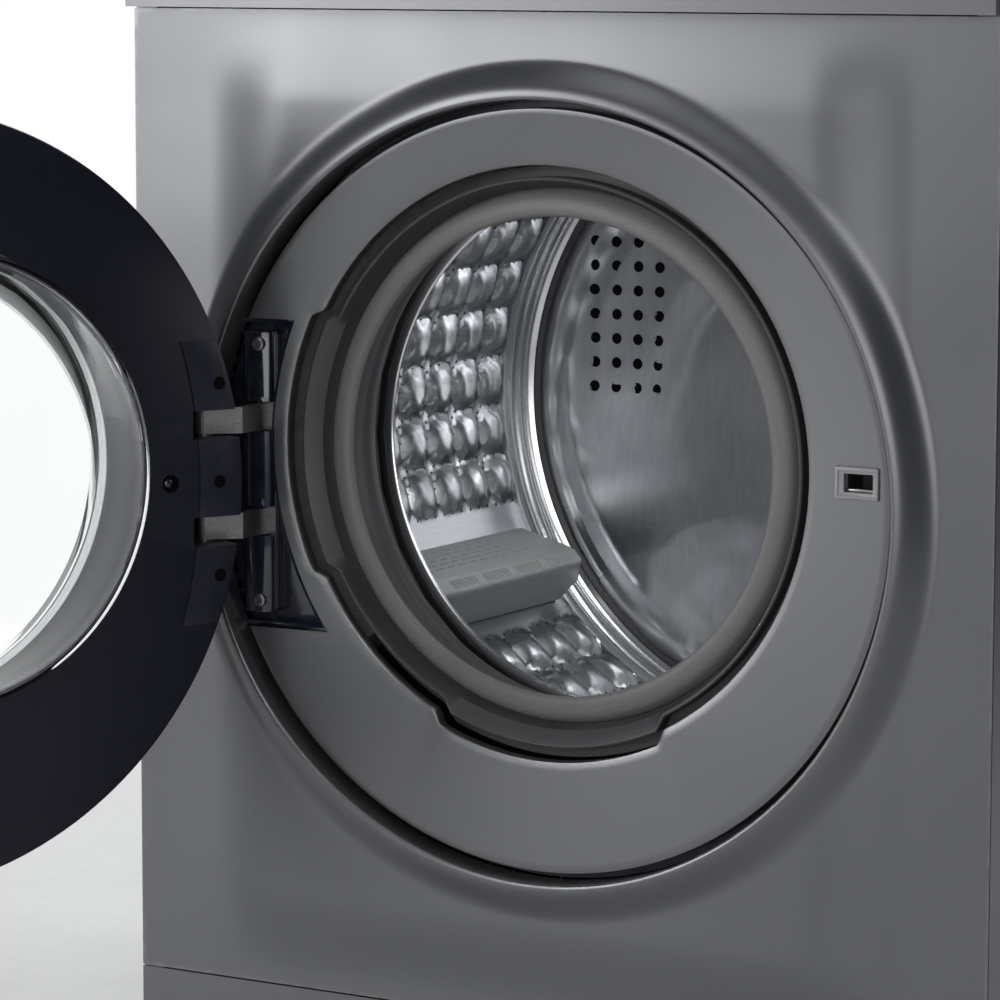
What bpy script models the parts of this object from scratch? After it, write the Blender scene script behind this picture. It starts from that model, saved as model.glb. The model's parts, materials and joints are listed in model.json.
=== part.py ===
"""Front load washing machine, modelled as separate named pieces.

Metres, +Z up, +X to the machine's right-hand side as one faces it, +Y from front to rear.
While modelling, Y = 0 is the front of the raised collar round the door and Z = 0 is the floor. The last
step moves everything together so that the origin is the centre of the bounding box's bottom face.
The door stands open at OPEN_ANGLE. Its pieces are written as if it were shut, under a turned empty.
"""

import math

import bmesh
import bpy
from mathutils import Euler, Matrix, Vector

# ---- Overall sizes ----
WIDTH = 0.600
HEIGHT = 0.850
DEPTH = 0.545
SHEET = 0.0015          # cabinet sheet steel
TOUCH = 0.0003          # gap kept between pieces that touch
FIT = 0.001             # gap round covers, buttons and panels

# ---- Heights of the front's bands ----
FEET_HEIGHT = 0.018
PLINTH_TOP = 0.099
TOP_THICK = 0.020
FASCIA_HEIGHT = 0.106

# ---- Door opening ----
DOOR_Z = 0.430          # centre of the collar and of the door
COLLAR_R = 0.240        # inner edge of the raised collar
COLLAR_HEIGHT = 0.015   # from the flat front to the collar's crest
COLLAR_BAND = 0.044     # from the inner edge out to where the bulge meets the flat
COLLAR_DEPTH = 0.022    # how far the collar's inner wall goes in
MOUTH_RISE = 0.0205     # the drum sits this much above the door's centre
MOUTH_R = COLLAR_R - 0.092    # opening in the gasket
GROOVE_R = COLLAR_R - 0.0604  # hole in the surround for the gasket
GROOVE_STEP = 0.007     # the hole is this much larger over its two bulges
SURROUND_Y = 0.0148     # face of the flat ring round the gasket
SURROUND_THICK = 0.003

# ---- Door ----
DOOR_PLAY = 0.002       # between the door's rim and the collar
DOOR_FACE_Y = 0.0112    # inner face of the shut door
DOOR_FRONT_Y = -0.040
FRAME_THICK = 0.0149
TRIM_WALL = 0.0025
GLASS_WALL = 0.004
BOWL_R = MOUTH_R - 0.0045     # the glass bowl at the frame
BOWL_DEPTH = 0.098
BOWL_PLAY = 0.001
OPEN_ANGLE = 117.2      # degrees from shut to fully open

# ---- Hinge ----
HINGE_INSET = 0.0116    # pin's distance inside the door's rim
HINGE_Y = -0.017
PIN_R = 0.004
PIN_PLAY = 0.0003
PIN_OVERHANG = 0.002    # pin beyond the outer face of each arm
EYE_WALL = 0.0027
ARM_THICK = 0.006
ARM_WIDTH = 0.0165
ARM_HEIGHTS = (0.0357, -0.0312)
ARM_PLAY = 0.0008       # each side of an arm in its slot
RECESS_HALF = 0.0975    # half height of the hinge recess
RECESS_DEPTH = 0.030

# ---- Latch ----
LATCH_X = COLLAR_R - 0.0255
LATCH_WIDTH = 0.028
LATCH_HEIGHT = 0.019
HOOK_THICK = 0.006
HOOK_TIP_Y = 0.031

# ---- Drum ----
DRUM_R = 0.226          # inside the wrapper
DRUM_FRONT_Y = 0.105
DRUM_LENGTH = 0.2835    # front edge to rear seam
DRUM_SHEET = 0.0015
DRUM_LIP_R = MOUTH_R + 0.015
LIFTER_COUNT = 3
LIFTER_ANGLE = 212.0
LIFTER_HEIGHT = 0.048
LIFTER_BASE = 0.064
LIFTER_TOP = 0.030
LIFTER_LENGTH = 0.214
LIFTER_INSET = 0.0275
SHAFT_R = 0.0125
SPIDER_ARM = 0.020

# ---- Tub ----
TUB_PLAY = 0.0145       # radial gap between drum and tub
TUB_WALL = 0.003
TUB_FRONT_PLAY = 0.006
TUB_REAR_PLAY = 0.035   # behind the drum, for the spider
TUB_SPLIT = 0.300
TUB_FLANGE = 0.014
TUB_MOUTH_R = MOUTH_R + 0.0225
TRAVEL = 0.006          # suspension travel each way
BEARING_R = 0.0262
BEARING_WIDTH = 0.016
HUB_WALL = 0.0118
HUB_LENGTH = 0.050

# ---- Drive ----
PULLEY_R = 0.145
PULLEY_WIDTH = 0.016
BELT_THICK = 0.004
BELT_WIDTH = 0.012
MOTOR_R = 0.062
MOTOR_LENGTH = 0.150
MOTOR_X = 0.060
MOTOR_Z = 0.130
MOTOR_PULLEY_R = 0.0125

# ---- Suspension ----
SPRING_X = 0.216
SPRING_Y = 0.360
SPRING_R = 0.013
SPRING_WIRE = 0.003
SPRING_TURNS = 5
SPRING_LUG_Z = 0.606
SPRING_TOP_DROP = 0.052  # bracket's underside below the top of the cabinet
DAMPER_X = 0.170
DAMPER_Y = 0.250
DAMPER_R = 0.014
DAMPER_TOP = 0.150
ROD_R = 0.006
ROD_PLAY = 0.0008
LUG_HALF = 0.012
LUG_BOTTOM = 0.256

# ---- Control panel and detergent drawer ----
FASCIA_Y = 0.005
FASCIA_WALL = 0.0025
DRAWER_LEFT = 0.018     # from the cabinet's left edge to the drawer's front
DRAWER_WIDTH = 0.178
DRAWER_HEIGHT = 0.083
DRAWER_RISE = 0.012     # drawer's bottom edge above the control panel's
DRAWER_DEPTH = 0.280
DRAWER_TRAVEL = 0.180
TRAY_HEIGHT = 0.060
TRAY_WALL = 0.002
HOUSING_WALL = 0.002
KNOB_X = -0.040
KNOB_R = 0.026
KNOB_HEIGHT = 0.020
KNOB_SHAFT_R = 0.004
DISPLAY_X = 0.100
DISPLAY_WIDTH = 0.145
DISPLAY_HEIGHT = 0.044
BUTTON_R = 0.011
BUTTON_PLAY = 0.0003
BUTTON_X = {"start_button": 0.215, "power_button": 0.262}

# ---- Plinth, pump and feet ----
FLAP_X = 0.215
FLAP_WIDTH = 0.110
FLAP_LOW = 0.030
FLAP_HEIGHT = 0.060
PUMP_R = 0.037
PUMP_WALL = 0.004
PUMP_LENGTH = 0.082
FOOT_R = 0.020
FOOT_INSET = 0.040
PAN_RIM = 0.010
PAN_WALL = 0.003

# ---- Rear ----
COVER_R = 0.180
HATCH_R = 0.165
VALVE_X = 0.200
VALVE_DROP = 0.035       # valve's axis below the worktop
STUB_R = 0.0132
STUB_LENGTH = 0.020

# ---- Values that follow ----
ROUND = 28               # sides of a large round body
COLLAR_ROUND = 36        # sides of the collar, the surround and the door's rim
MOUTH_Z = DOOR_Z + MOUTH_RISE
HALF = WIDTH / 2
FLAT_Y = COLLAR_HEIGHT
SIDE_Y = FLAT_Y + SHEET + TOUCH + 0.0002
TOP_Z = HEIGHT - TOP_THICK
FASCIA_TOP = TOP_Z - TOUCH - 0.0002
FASCIA_LOW = FASCIA_TOP - FASCIA_HEIGHT
FASCIA_MID = (FASCIA_LOW + FASCIA_TOP) / 2
PANEL_LOW = PLINTH_TOP + FIT
PANEL_HIGH = FASCIA_LOW - FIT
DOOR_R = COLLAR_R - DOOR_PLAY
HINGE_X = -(DOOR_R - HINGE_INSET)
SURROUND_R = COLLAR_R - 0.005
DRUM_BACK_Y = DRUM_FRONT_Y + DRUM_LENGTH
TUB_R = DRUM_R + DRUM_SHEET + TUB_PLAY
TUB_FRONT_Y = DRUM_FRONT_Y - DRUM_SHEET - TUB_FRONT_PLAY
TUB_BACK_Y = DRUM_BACK_Y + DRUM_SHEET + TUB_REAR_PLAY
HUB_BACK_Y = TUB_BACK_Y - 0.010 + HUB_LENGTH
PULLEY_Y = HUB_BACK_Y + 0.005
SHAFT_END_Y = PULLEY_Y + PULLEY_WIDTH + 0.006
LATCH_Z = DOOR_Z + MOUTH_RISE
DRAWER_X = -HALF + DRAWER_LEFT + DRAWER_WIDTH / 2
DRAWER_LOW = FASCIA_LOW + DRAWER_RISE
DRAWER_HIGH = DRAWER_LOW + DRAWER_HEIGHT

PIN_LOW = DOOR_Z + ARM_HEIGHTS[1] - ARM_WIDTH / 2 - PIN_OVERHANG
PIN_HIGH = DOOR_Z + ARM_HEIGHTS[0] + ARM_WIDTH / 2 + PIN_OVERHANG

# ---- Scene ----
for old in list(bpy.data.objects):
    bpy.data.objects.remove(old)
PARTS = bpy.data.collections.new("front_load_washing_machine")
CUTTERS = bpy.data.collections.new("cutters")
bpy.context.scene.collection.children.link(PARTS)
bpy.context.scene.collection.children.link(CUTTERS)


def finish(name, colour, roughness, metallic=0.0, alpha=1.0):
    """A Principled material."""
    made = bpy.data.materials.new(name)
    made.use_nodes = True
    shader = made.node_tree.nodes["Principled BSDF"]
    shader.inputs["Base Color"].default_value = (*colour, 1.0)
    shader.inputs["Roughness"].default_value = roughness
    shader.inputs["Metallic"].default_value = metallic
    shader.inputs["Alpha"].default_value = alpha
    return made


GRAPHITE = finish("graphite_paint", (0.16, 0.165, 0.175), 0.38, 0.85)
NAVY = finish("dark_navy_plastic", (0.012, 0.014, 0.026), 0.35)
BLACK = finish("black_plastic", (0.02, 0.02, 0.022), 0.5)
GREY = finish("grey_plastic", (0.45, 0.46, 0.47), 0.5)
PALE = finish("pale_plastic", (0.75, 0.76, 0.77), 0.5)
RUBBER = finish("grey_rubber", (0.12, 0.115, 0.115), 0.7)
STAINLESS = finish("stainless_steel", (0.62, 0.62, 0.62), 0.25, 1.0)
BRUSHED = finish("brushed_steel", (0.5, 0.5, 0.51), 0.35, 1.0)
ZINC = finish("galvanised_steel", (0.55, 0.57, 0.6), 0.5, 0.9)
CAST = finish("cast_aluminium", (0.5, 0.5, 0.5), 0.6, 0.8)
CONCRETE = finish("concrete", (0.42, 0.41, 0.39), 0.95)
GLASS = finish("clear_glass", (0.85, 0.9, 0.9), 0.03, 0.0, 0.3)
TINTED = finish("display_glass", (0.01, 0.01, 0.012), 0.08)
BOARD = finish("green_board", (0.02, 0.12, 0.06), 0.5)


# ---- Modelling helpers ----
def smooth(obj):
    """Shades a mesh smooth apart from its corners."""
    obj.data.shade_smooth()
    obj.data.set_sharp_from_angle(angle=math.radians(32))


def add(name, data, material, parent):
    """Puts an object in the parts' collection under its parent."""
    obj = bpy.data.objects.new(name, data)
    PARTS.objects.link(obj)
    obj.data.materials.append(material)
    obj.parent = parent
    if parent is not None:
        obj.matrix_parent_inverse = REST[parent.name]
    return obj


REST = {}


def pivot(name, place, parent, turn=0.0):
    """An empty on a joint's axis. Its children are placed as if it stood unturned."""
    empty = bpy.data.objects.new(name, None)
    PARTS.objects.link(empty)
    empty.location = place
    empty.rotation_euler = (0.0, 0.0, turn)
    empty.parent = parent
    if parent is not None:
        empty.matrix_parent_inverse = REST[parent.name]
    REST[name] = Matrix.Translation(place).inverted()
    return empty


def helper(obj):
    """Turns a finished object into a hidden cutter."""
    for user in list(obj.users_collection):
        user.objects.unlink(obj)
    CUTTERS.objects.link(obj)
    obj.hide_render = True
    obj.display_type = "WIRE"
    return obj


def boolean(target, other, operation):
    """Adds an exact Boolean of other, which becomes a hidden helper, to target."""
    change = target.modifiers.new(f"{operation.lower()}_{other.name}", "BOOLEAN")
    change.operation = operation
    change.solver = "EXACT"
    change.object = helper(other)
    return target


def cut(target, *others):
    """Takes the other shapes away from target."""
    for other in others:
        boolean(target, other, "DIFFERENCE")
    return target


def join(target, *others):
    """Makes the other shapes part of target."""
    for other in others:
        boolean(target, other, "UNION")
    return target


def box(name, low, high, material, parent, bevel=0.0):
    """A block between two corners, with its long edges rounded where bevel is set."""
    mesh = bpy.data.meshes.new(name)
    built = bmesh.new()
    bmesh.ops.create_cube(built, size=1.0)
    size = Vector(high) - Vector(low)
    bmesh.ops.scale(built, vec=size, verts=built.verts)
    built.to_mesh(mesh)
    built.free()
    obj = add(name, mesh, material, parent)
    obj.location = (Vector(low) + Vector(high)) / 2
    if bevel:
        edge = obj.modifiers.new("rounded_edges", "BEVEL")
        edge.width = bevel
        edge.segments = 2
        edge.limit_method = "ANGLE"
    return obj


def turned(name, profile, material, parent, centre, axis="Y", steps=ROUND):
    """A profile of (radius, distance along the axis) turned into a closed body."""
    area = 0.0
    for (r1, t1), (r2, t2) in zip(profile, profile[1:] + profile[:1]):
        area += r1 * t2 - r2 * t1
    points = profile if area < 0 else profile[::-1]
    on_axis = sum(1 for radius, _ in points if radius < 1e-7)
    if on_axis:
        while not (points[0][0] < 1e-7 and points[-1][0] < 1e-7):
            points = points[1:] + points[:1]
    mesh = bpy.data.meshes.new(name)
    built = bmesh.new()
    verts = [built.verts.new((radius, 0.0, along)) for radius, along in points]
    for first, second in zip(verts, verts[1:]):
        built.edges.new((first, second))
    if not on_axis:
        built.edges.new((verts[-1], verts[0]))
    built.to_mesh(mesh)
    built.free()
    obj = add(name, mesh, material, parent)
    obj.location = centre
    obj.rotation_euler = {"Y": (-math.pi / 2, 0, 0), "Z": (0, 0, 0)}[axis]
    spin = obj.modifiers.new("turned", "SCREW")
    spin.axis = "Z"
    spin.steps = steps
    spin.render_steps = steps
    spin.use_merge_vertices = True
    spin.merge_threshold = 0.0001
    spin.use_smooth_shade = True
    return obj


def wall(path, thickness):
    """The closed profile of a wall to the right of a path of (radius, distance) points."""
    offset = []
    for index, point in enumerate(path):
        ends = path[max(index - 1, 0)], path[min(index + 1, len(path) - 1)]
        normals = []
        for start, end in ((ends[0], point), (point, ends[1])):
            run = Vector((end[0] - start[0], end[1] - start[1]))
            if run.length > 1e-9:
                run.normalize()
                normals.append(Vector((run.y, -run.x)))
        mean = sum(normals, Vector((0.0, 0.0)))
        mean.normalize()
        reach = thickness / max(mean.dot(normals[0]), 0.5)
        offset.append((max(point[0] + mean.x * reach, 0.0), point[1] + mean.y * reach))
    return list(path) + offset[::-1]


def arc(radius, start, end, steps, centre=(0.0, 0.0)):
    """Points along an arc, angles in degrees."""
    made = []
    for step in range(steps + 1):
        angle = math.radians(start + (end - start) * step / steps)
        made.append((centre[0] + radius * math.cos(angle), centre[1] + radius * math.sin(angle)))
    return made


def ring_of(radius, height, sides, across=0.0):
    """The corners of a regular polygon about a horizontal axis."""
    return arc(radius, 0, 360 - 360 / sides, sides - 1, (across, height))


def outline(name, loops, low, high, material, parent, axis="Y", as_mesh=False):
    """A flat outline, holes included, as thick as from low to high along an axis.

    Loops are of (x, z) points for axis Y and of (x, y) points for axis Z.
    """
    curve = bpy.data.curves.new(name, "CURVE")
    curve.dimensions = "2D"
    curve.fill_mode = "BOTH"
    curve.extrude = (high - low) / 2
    for points in loops:
        spline = curve.splines.new("POLY")
        spline.points.add(len(points) - 1)
        for knot, (across, along) in zip(spline.points, points):
            knot.co = (across, along, 0.0, 1.0)
        spline.use_cyclic_u = True
    obj = add(name, curve, material, parent)
    middle = (low + high) / 2
    obj.location = (0.0, middle, 0.0) if axis == "Y" else (0.0, 0.0, middle)
    obj.rotation_euler = (math.pi / 2, 0, 0) if axis == "Y" else (0, 0, 0)
    return meshed(obj) if as_mesh else obj


def meshed(obj):
    """Replaces a curve object by its mesh, with its caps welded on."""
    bpy.context.view_layer.update()
    graph = bpy.context.evaluated_depsgraph_get()
    mesh = bpy.data.meshes.new_from_object(obj.evaluated_get(graph))
    built = bmesh.new()
    built.from_mesh(mesh)
    bmesh.ops.remove_doubles(built, verts=built.verts, dist=1e-6)
    bmesh.ops.recalc_face_normals(built, faces=built.faces)
    built.to_mesh(mesh)
    built.free()
    name, parent, place, turn = obj.name, obj.parent, obj.location.copy(), obj.rotation_euler.copy()
    material = obj.data.materials[0]
    curve = obj.data
    bpy.data.objects.remove(obj)
    bpy.data.curves.remove(curve)
    mesh.materials.clear()
    new = add(name, mesh, material, parent)
    new.location = place
    new.rotation_euler = turn
    return new


def rod(name, radius, start, end, material, parent, centre, axis="Y", steps=16):
    """A plain round bar from start to end along an axis through centre."""
    profile = [(0.0, end), (radius, end), (radius, start), (0.0, start)]
    return turned(name, profile, material, parent, centre, axis, steps)


def tube(name, inner, outer, start, end, material, parent, centre, axis="Y", steps=16):
    """A plain ring from start to end along an axis through centre."""
    profile = [(outer, end), (outer, start), (inner, start), (inner, end)]
    return turned(name, profile, material, parent, centre, axis, steps)


def wire(name, points, radius, material, parent, sides=2):
    """A round wire through points, its ends filled."""
    curve = bpy.data.curves.new(name, "CURVE")
    curve.dimensions = "3D"
    curve.bevel_depth = radius
    curve.bevel_resolution = sides
    curve.use_fill_caps = True
    spline = curve.splines.new("POLY")
    spline.points.add(len(points) - 1)
    for knot, place in zip(spline.points, points):
        knot.co = (*place, 1.0)
    return add(name, curve, material, parent)


# ---- Pivots ----
MACHINE = pivot("machine", (0.0, 0.0, 0.0), None)
DOOR = pivot("door_pivot", (HINGE_X, HINGE_Y, DOOR_Z), MACHINE, -math.radians(OPEN_ANGLE))
HOOK = pivot("hook_pivot", (LATCH_X, 0.004, LATCH_Z), DOOR)
TUB = pivot("tub_pivot", (0.0, TUB_SPLIT, MOUTH_Z), MACHINE)
DRUM = pivot("drum_pivot", (0.0, DRUM_FRONT_Y, MOUTH_Z), TUB)
ROTOR = pivot("rotor_pivot", (MOTOR_X, PULLEY_Y, MOTOR_Z), TUB)
DRAWER = pivot("drawer_pivot", (DRAWER_X, 0.0, DRAWER_LOW), MACHINE)
FLAP = pivot("flap_pivot", (FLAP_X, FLAT_Y + SHEET, FLAP_LOW + 0.002), MACHINE)


# ---- Cabinet ----
def side_panel(side):
    """A side sheet with front and rear returns and the bracket its spring hangs from."""
    name = "side_panel_right" if side > 0 else "side_panel_left"
    outer, inner = side * HALF, side * (HALF - SHEET)
    back = side * (HALF - 0.016)
    front_in, rear_in = SIDE_Y + SHEET, DEPTH - SHEET
    plan = [(outer, SIDE_Y), (outer, DEPTH), (back, DEPTH), (back, rear_in),
            (inner, rear_in), (inner, front_in), (back, front_in), (back, SIDE_Y)]
    low, high = FEET_HEIGHT + 0.002, TOP_Z - TOUCH
    panel = outline(name, [plan], low, high, GRAPHITE, MACHINE, "Z", True)
    under = HEIGHT - SPRING_TOP_DROP
    ends = sorted((side * (SPRING_X - 0.014), side * (HALF - SHEET / 2)))
    shelf = box(f"{name}_bracket", (ends[0], SPRING_Y - 0.022, under),
                (ends[1], SPRING_Y + 0.022, under + 0.012), ZINC, MACHINE)
    return join(panel, shelf)


def rear_panel():
    """The rear sheet between the sides' returns, with a hatch and the valve's hole."""
    edge = HALF - 0.016 - 0.0005
    low, high = FEET_HEIGHT + 0.004, TOP_Z - FIT
    loops = [[(-edge, low), (edge, low), (edge, high), (-edge, high)],
             ring_of(HATCH_R, MOUTH_Z, ROUND), ring_of(STUB_R + FIT, TOP_Z - VALVE_DROP, 16, VALVE_X)]
    return outline("rear_panel", loops, DEPTH - SHEET, DEPTH, ZINC, MACHINE)


def rear_cover():
    """The dished cover over the drive."""
    start = DEPTH + TOUCH
    profile = [(0.0, start + 0.006), (COVER_R - 0.030, start + 0.006), (COVER_R - 0.020, start + 0.002),
               (COVER_R, start + 0.002), (COVER_R, start), (COVER_R - 0.021, start),
               (COVER_R - 0.031, start + 0.004), (0.0, start + 0.004)]
    return turned("rear_cover", profile, ZINC, MACHINE, (0.0, 0.0, MOUTH_Z), steps=24)


def top_panel():
    """The worktop, hollow from below."""
    top = box("top_panel", (-HALF, 0.0, TOP_Z), (HALF, DEPTH, HEIGHT), GRAPHITE, MACHINE, 0.003)
    inside = box("top_hollow", (-HALF + 0.004, 0.004, TOP_Z - 0.01),
                 (HALF - 0.004, DEPTH - 0.004, HEIGHT - 0.006), BLACK, MACHINE)
    return cut(top, inside)


def front_panel():
    """The flat front sheet, drawn up into a round collar about the door's recess."""
    foot = COLLAR_R + COLLAR_BAND
    crest = COLLAR_R + 0.006
    high = FLAT_Y
    face = [(foot, high + 0.0003), (foot - 0.012, high - 0.0015), (foot - 0.022, high - 0.008),
            (crest + 0.007, 0.0012), (crest, 0.0), (COLLAR_R, 0.0015), (COLLAR_R, COLLAR_DEPTH)]
    back = [(COLLAR_R + SHEET, COLLAR_DEPTH), (COLLAR_R + SHEET, 0.004), (crest, 0.0020),
            (crest + 0.0065, 0.0030), (foot - 0.0225, high - 0.0062), (foot - 0.0125, high + 0.0003),
            (foot, high + 0.0012)]
    collar = turned("front_collar", face + back, GRAPHITE, MACHINE, (0.0, 0.0, DOOR_Z),
                    steps=COLLAR_ROUND)
    loops = [[(-HALF, PANEL_LOW), (HALF, PANEL_LOW), (HALF, PANEL_HIGH), (-HALF, PANEL_HIGH)],
             ring_of(foot - 0.008, DOOR_Z, COLLAR_ROUND)]
    sheet = outline("front_panel", loops, high, high + SHEET, GRAPHITE, MACHINE, "Y", True)
    return join(sheet, collar)


def recess_outline(grow):
    """The hinge recess: between the surround's rim and an arc about the drum's centre."""
    outer_r, inner_r = SURROUND_R - 0.0005 + grow, GROOVE_R + 0.017 - grow
    top, bottom = DOOR_Z + RECESS_HALF + grow, DOOR_Z - RECESS_HALF - grow
    outer, inner = [], []
    for step in range(11):
        height = top + (bottom - top) * step / 10
        outer.append((-math.sqrt(outer_r ** 2 - (height - DOOR_Z) ** 2), height))
        inner.append((-math.sqrt(inner_r ** 2 - (height - MOUTH_Z) ** 2), height))
    return outer + inner[::-1]


def groove_outline():
    """The surround's hole: a circle with a stepped bulge at the left and one at the bottom."""
    points = []
    for index in range(72):
        angle = index * 5.0
        bulged = 150 < angle < 207 or 243 < angle < 298
        radius = GROOVE_R + (GROOVE_STEP if bulged else 0.0)
        points += arc(radius, angle, angle, 1, (0.0, MOUTH_Z))[:1]
    return points


def door_surround():
    """The flat ring between collar and gasket, open for the hinge recess and the latch."""
    ring = [ring_of(SURROUND_R, DOOR_Z, COLLAR_ROUND), groove_outline()]
    face, back = SURROUND_Y, SURROUND_Y + SURROUND_THICK
    obj = outline("door_surround", ring, face, back, GRAPHITE, MACHINE, "Y", True)
    notch = recess_outline(TOUCH)
    beyond = -SURROUND_R - 0.02
    loop = [(beyond, notch[0][1])] + notch[:10:-1] + [(beyond, notch[10][1])]
    opening = outline("hinge_notch", [loop], face - 0.01, back + 0.01, BLACK, MACHINE, "Y", True)
    return cut(obj, opening, latch_slot("surround_slot", face - 0.01, back + 0.01))


def latch_slot(name, low, high):
    """The opening that the door's hook goes through."""
    return box(name, (LATCH_X - 0.009, low, LATCH_Z - 0.0055), (LATCH_X + 0.009, high, LATCH_Z + 0.0055),
               BLACK, MACHINE)


def latch_plate():
    """The small plate round the hook's opening."""
    face = SURROUND_Y - TOUCH - 0.0027
    low = (LATCH_X + 0.0128 - LATCH_WIDTH, face, LATCH_Z - LATCH_HEIGHT / 2)
    high = (LATCH_X + 0.0128, SURROUND_Y - TOUCH, LATCH_Z + LATCH_HEIGHT / 2)
    plate = box("latch_plate", low, high, GREY, MACHINE)
    return cut(plate, latch_slot("plate_slot", face - 0.01, face + 0.01))


def door_lock():
    """The lock's housing behind the surround, hollow where the hook catches."""
    front = SURROUND_Y + SURROUND_THICK + TOUCH
    low = (LATCH_X - 0.024, front, LATCH_Z - 0.030)
    high = (LATCH_X + 0.0115, front + 0.034, LATCH_Z + 0.030)
    body = box("door_lock", low, high, BLACK, MACHINE)
    slot = box("lock_slot", (LATCH_X - 0.0095, front - 0.01, LATCH_Z - 0.006),
               (LATCH_X + 0.0095, front + 0.020, LATCH_Z + 0.006), BLACK, MACHINE)
    return cut(body, slot)


def base_pan():
    """The tray that the dampers and the pump stand on."""
    low, high = FEET_HEIGHT + TOUCH, FEET_HEIGHT + PAN_RIM
    edge, front, back = HALF - SHEET - FIT, SIDE_Y + 0.004, DEPTH - SHEET - FIT
    pan = box("base_pan", (-edge, front, low), (edge, back, high), BLACK, MACHINE)
    hollow = box("pan_hollow", (-edge + PAN_WALL, front + PAN_WALL, low + PAN_WALL),
                 (edge - PAN_WALL, back - PAN_WALL, high + 0.01), BLACK, MACHINE)
    return cut(pan, hollow)


def foot(name, x, y):
    """A levelling foot: rubber pad, hexagon and stud."""
    profile = [(0.0, FEET_HEIGHT), (0.006, FEET_HEIGHT), (0.006, 0.012), (0.012, 0.012), (0.013, 0.008),
               (FOOT_R, 0.005), (FOOT_R, 0.0), (0.0, 0.0)]
    return turned(name, profile, BLACK, MACHINE, (x, y, 0.0), "Z", 12)


def kick_panel():
    """The plinth's front, with the service hatch at the right."""
    low, high = FEET_HEIGHT + 0.002, PLINTH_TOP
    left, right = FLAP_X - FLAP_WIDTH / 2 - FIT, FLAP_X + FLAP_WIDTH / 2 + FIT
    bottom, top = FLAP_LOW - FIT * 2, FLAP_LOW + FLAP_HEIGHT + FIT
    loops = [[(-HALF, low), (HALF, low), (HALF, high), (-HALF, high)],
             [(left, bottom), (right, bottom), (right, top), (left, top)]]
    return outline("kick_panel", loops, FLAT_Y, FLAT_Y + SHEET, GRAPHITE, MACHINE)


def service_flap():
    """The flap over the pump's filter, with a finger dip at its top edge."""
    left, right = FLAP_X - FLAP_WIDTH / 2, FLAP_X + FLAP_WIDTH / 2
    flap = box("service_flap", (left, FLAT_Y, FLAP_LOW), (right, FLAT_Y + SHEET, FLAP_LOW + FLAP_HEIGHT),
               GRAPHITE, FLAP)
    dip = box("flap_dip", (FLAP_X - 0.016, FLAT_Y - 0.01, FLAP_LOW + FLAP_HEIGHT - 0.006),
              (FLAP_X + 0.016, FLAT_Y + 0.01, FLAP_LOW + FLAP_HEIGHT + 0.01), BLACK, FLAP)
    return cut(flap, dip)


# ---- Hinge ----
def arm_outline():
    """Plan of a hinge arm: out of the recess, then across to the pin's eye."""
    half = ARM_THICK / 2
    stem = HINGE_X + 0.0184
    eye = arc(PIN_R + PIN_PLAY + EYE_WALL, -60, -250, 12, (HINGE_X, HINGE_Y))
    return [(stem + half, RECESS_DEPTH - 0.004), (stem + half, -0.0065)] + eye + [
        (stem - half, -0.0035), (stem - half, RECESS_DEPTH - 0.004)]


def hinge_arms():
    """Two cranked arms on one strip, each with an eye round the hinge pin."""
    centre = HINGE_X + 0.0184
    floor = RECESS_DEPTH - 0.0025 - TOUCH
    strip = box("hinge_arms", (centre - 0.0052, floor - 0.0035, DOOR_Z - RECESS_HALF + 0.010),
                (centre + 0.0078, floor, DOOR_Z + RECESS_HALF - 0.010), BRUSHED, MACHINE)
    for index, height in enumerate(ARM_HEIGHTS):
        low, high = DOOR_Z + height - ARM_WIDTH / 2, DOOR_Z + height + ARM_WIDTH / 2
        join(strip, outline(f"arm_{index}", [arm_outline()], low, high, BRUSHED, MACHINE, "Z", True))
    bore = rod("arm_bore", PIN_R + PIN_PLAY, -0.2, 0.2, BLACK, MACHINE, (HINGE_X, HINGE_Y, DOOR_Z), "Z")
    return cut(strip, bore)


def hinge_bracket():
    """The recess's tray, which the arms are screwed into."""
    front = SURROUND_Y + SURROUND_THICK + TOUCH
    floor = RECESS_DEPTH - 0.0025
    tray = outline("hinge_bracket", [recess_outline(-TOUCH)], front, RECESS_DEPTH, NAVY, MACHINE, "Y", True)
    pocket = outline("recess_pocket", [recess_outline(-0.0025)], front - 0.01, floor, BLACK, MACHINE,
                     "Y", True)
    return cut(tray, pocket)


def arm_slots(name):
    """Two blocks that open the frame's rim for the arms as the door swings."""
    slots = []
    for index, height in enumerate(ARM_HEIGHTS):
        reach = ARM_WIDTH / 2 + ARM_PLAY
        slots.append(box(f"{name}_{index}", (-DOOR_R - 0.01, -0.0255, DOOR_Z + height - reach),
                         (HINGE_X + 0.0237, 0.02, DOOR_Z + height + reach), BLACK, DOOR))
    return slots


# ---- Door ----
def door_frame():
    """The inner ring that carries glass, hinge and hook."""
    rear, front = DOOR_FACE_Y, DOOR_FACE_Y - FRAME_THICK
    loops = [ring_of(DOOR_R, DOOR_Z, COLLAR_ROUND), ring_of(BOWL_R + BOWL_PLAY, MOUTH_Z, ROUND)]
    frame = outline("door_frame", loops, front, rear, NAVY, DOOR, "Y", True)
    knuckle = box("hinge_knuckle", (HINGE_X - 0.0030, HINGE_Y - 0.0044, DOOR_Z - 0.0205),
                  (HINGE_X + 0.0130, front + 0.002, DOOR_Z + 0.0245), NAVY, DOOR)
    bore = rod("knuckle_bore", PIN_R + TOUCH, -0.2, 0.2, BLACK, DOOR, (HINGE_X, HINGE_Y, DOOR_Z), "Z")
    slot = box("hook_slot", (LATCH_X - 0.007, front - 0.01, LATCH_Z - 0.0045),
               (LATCH_X + 0.008, rear + 0.01, LATCH_Z + 0.0045), BLACK, DOOR)
    join(frame, knuckle)
    return cut(frame, bore, slot, *arm_slots("frame_slot"))


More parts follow.
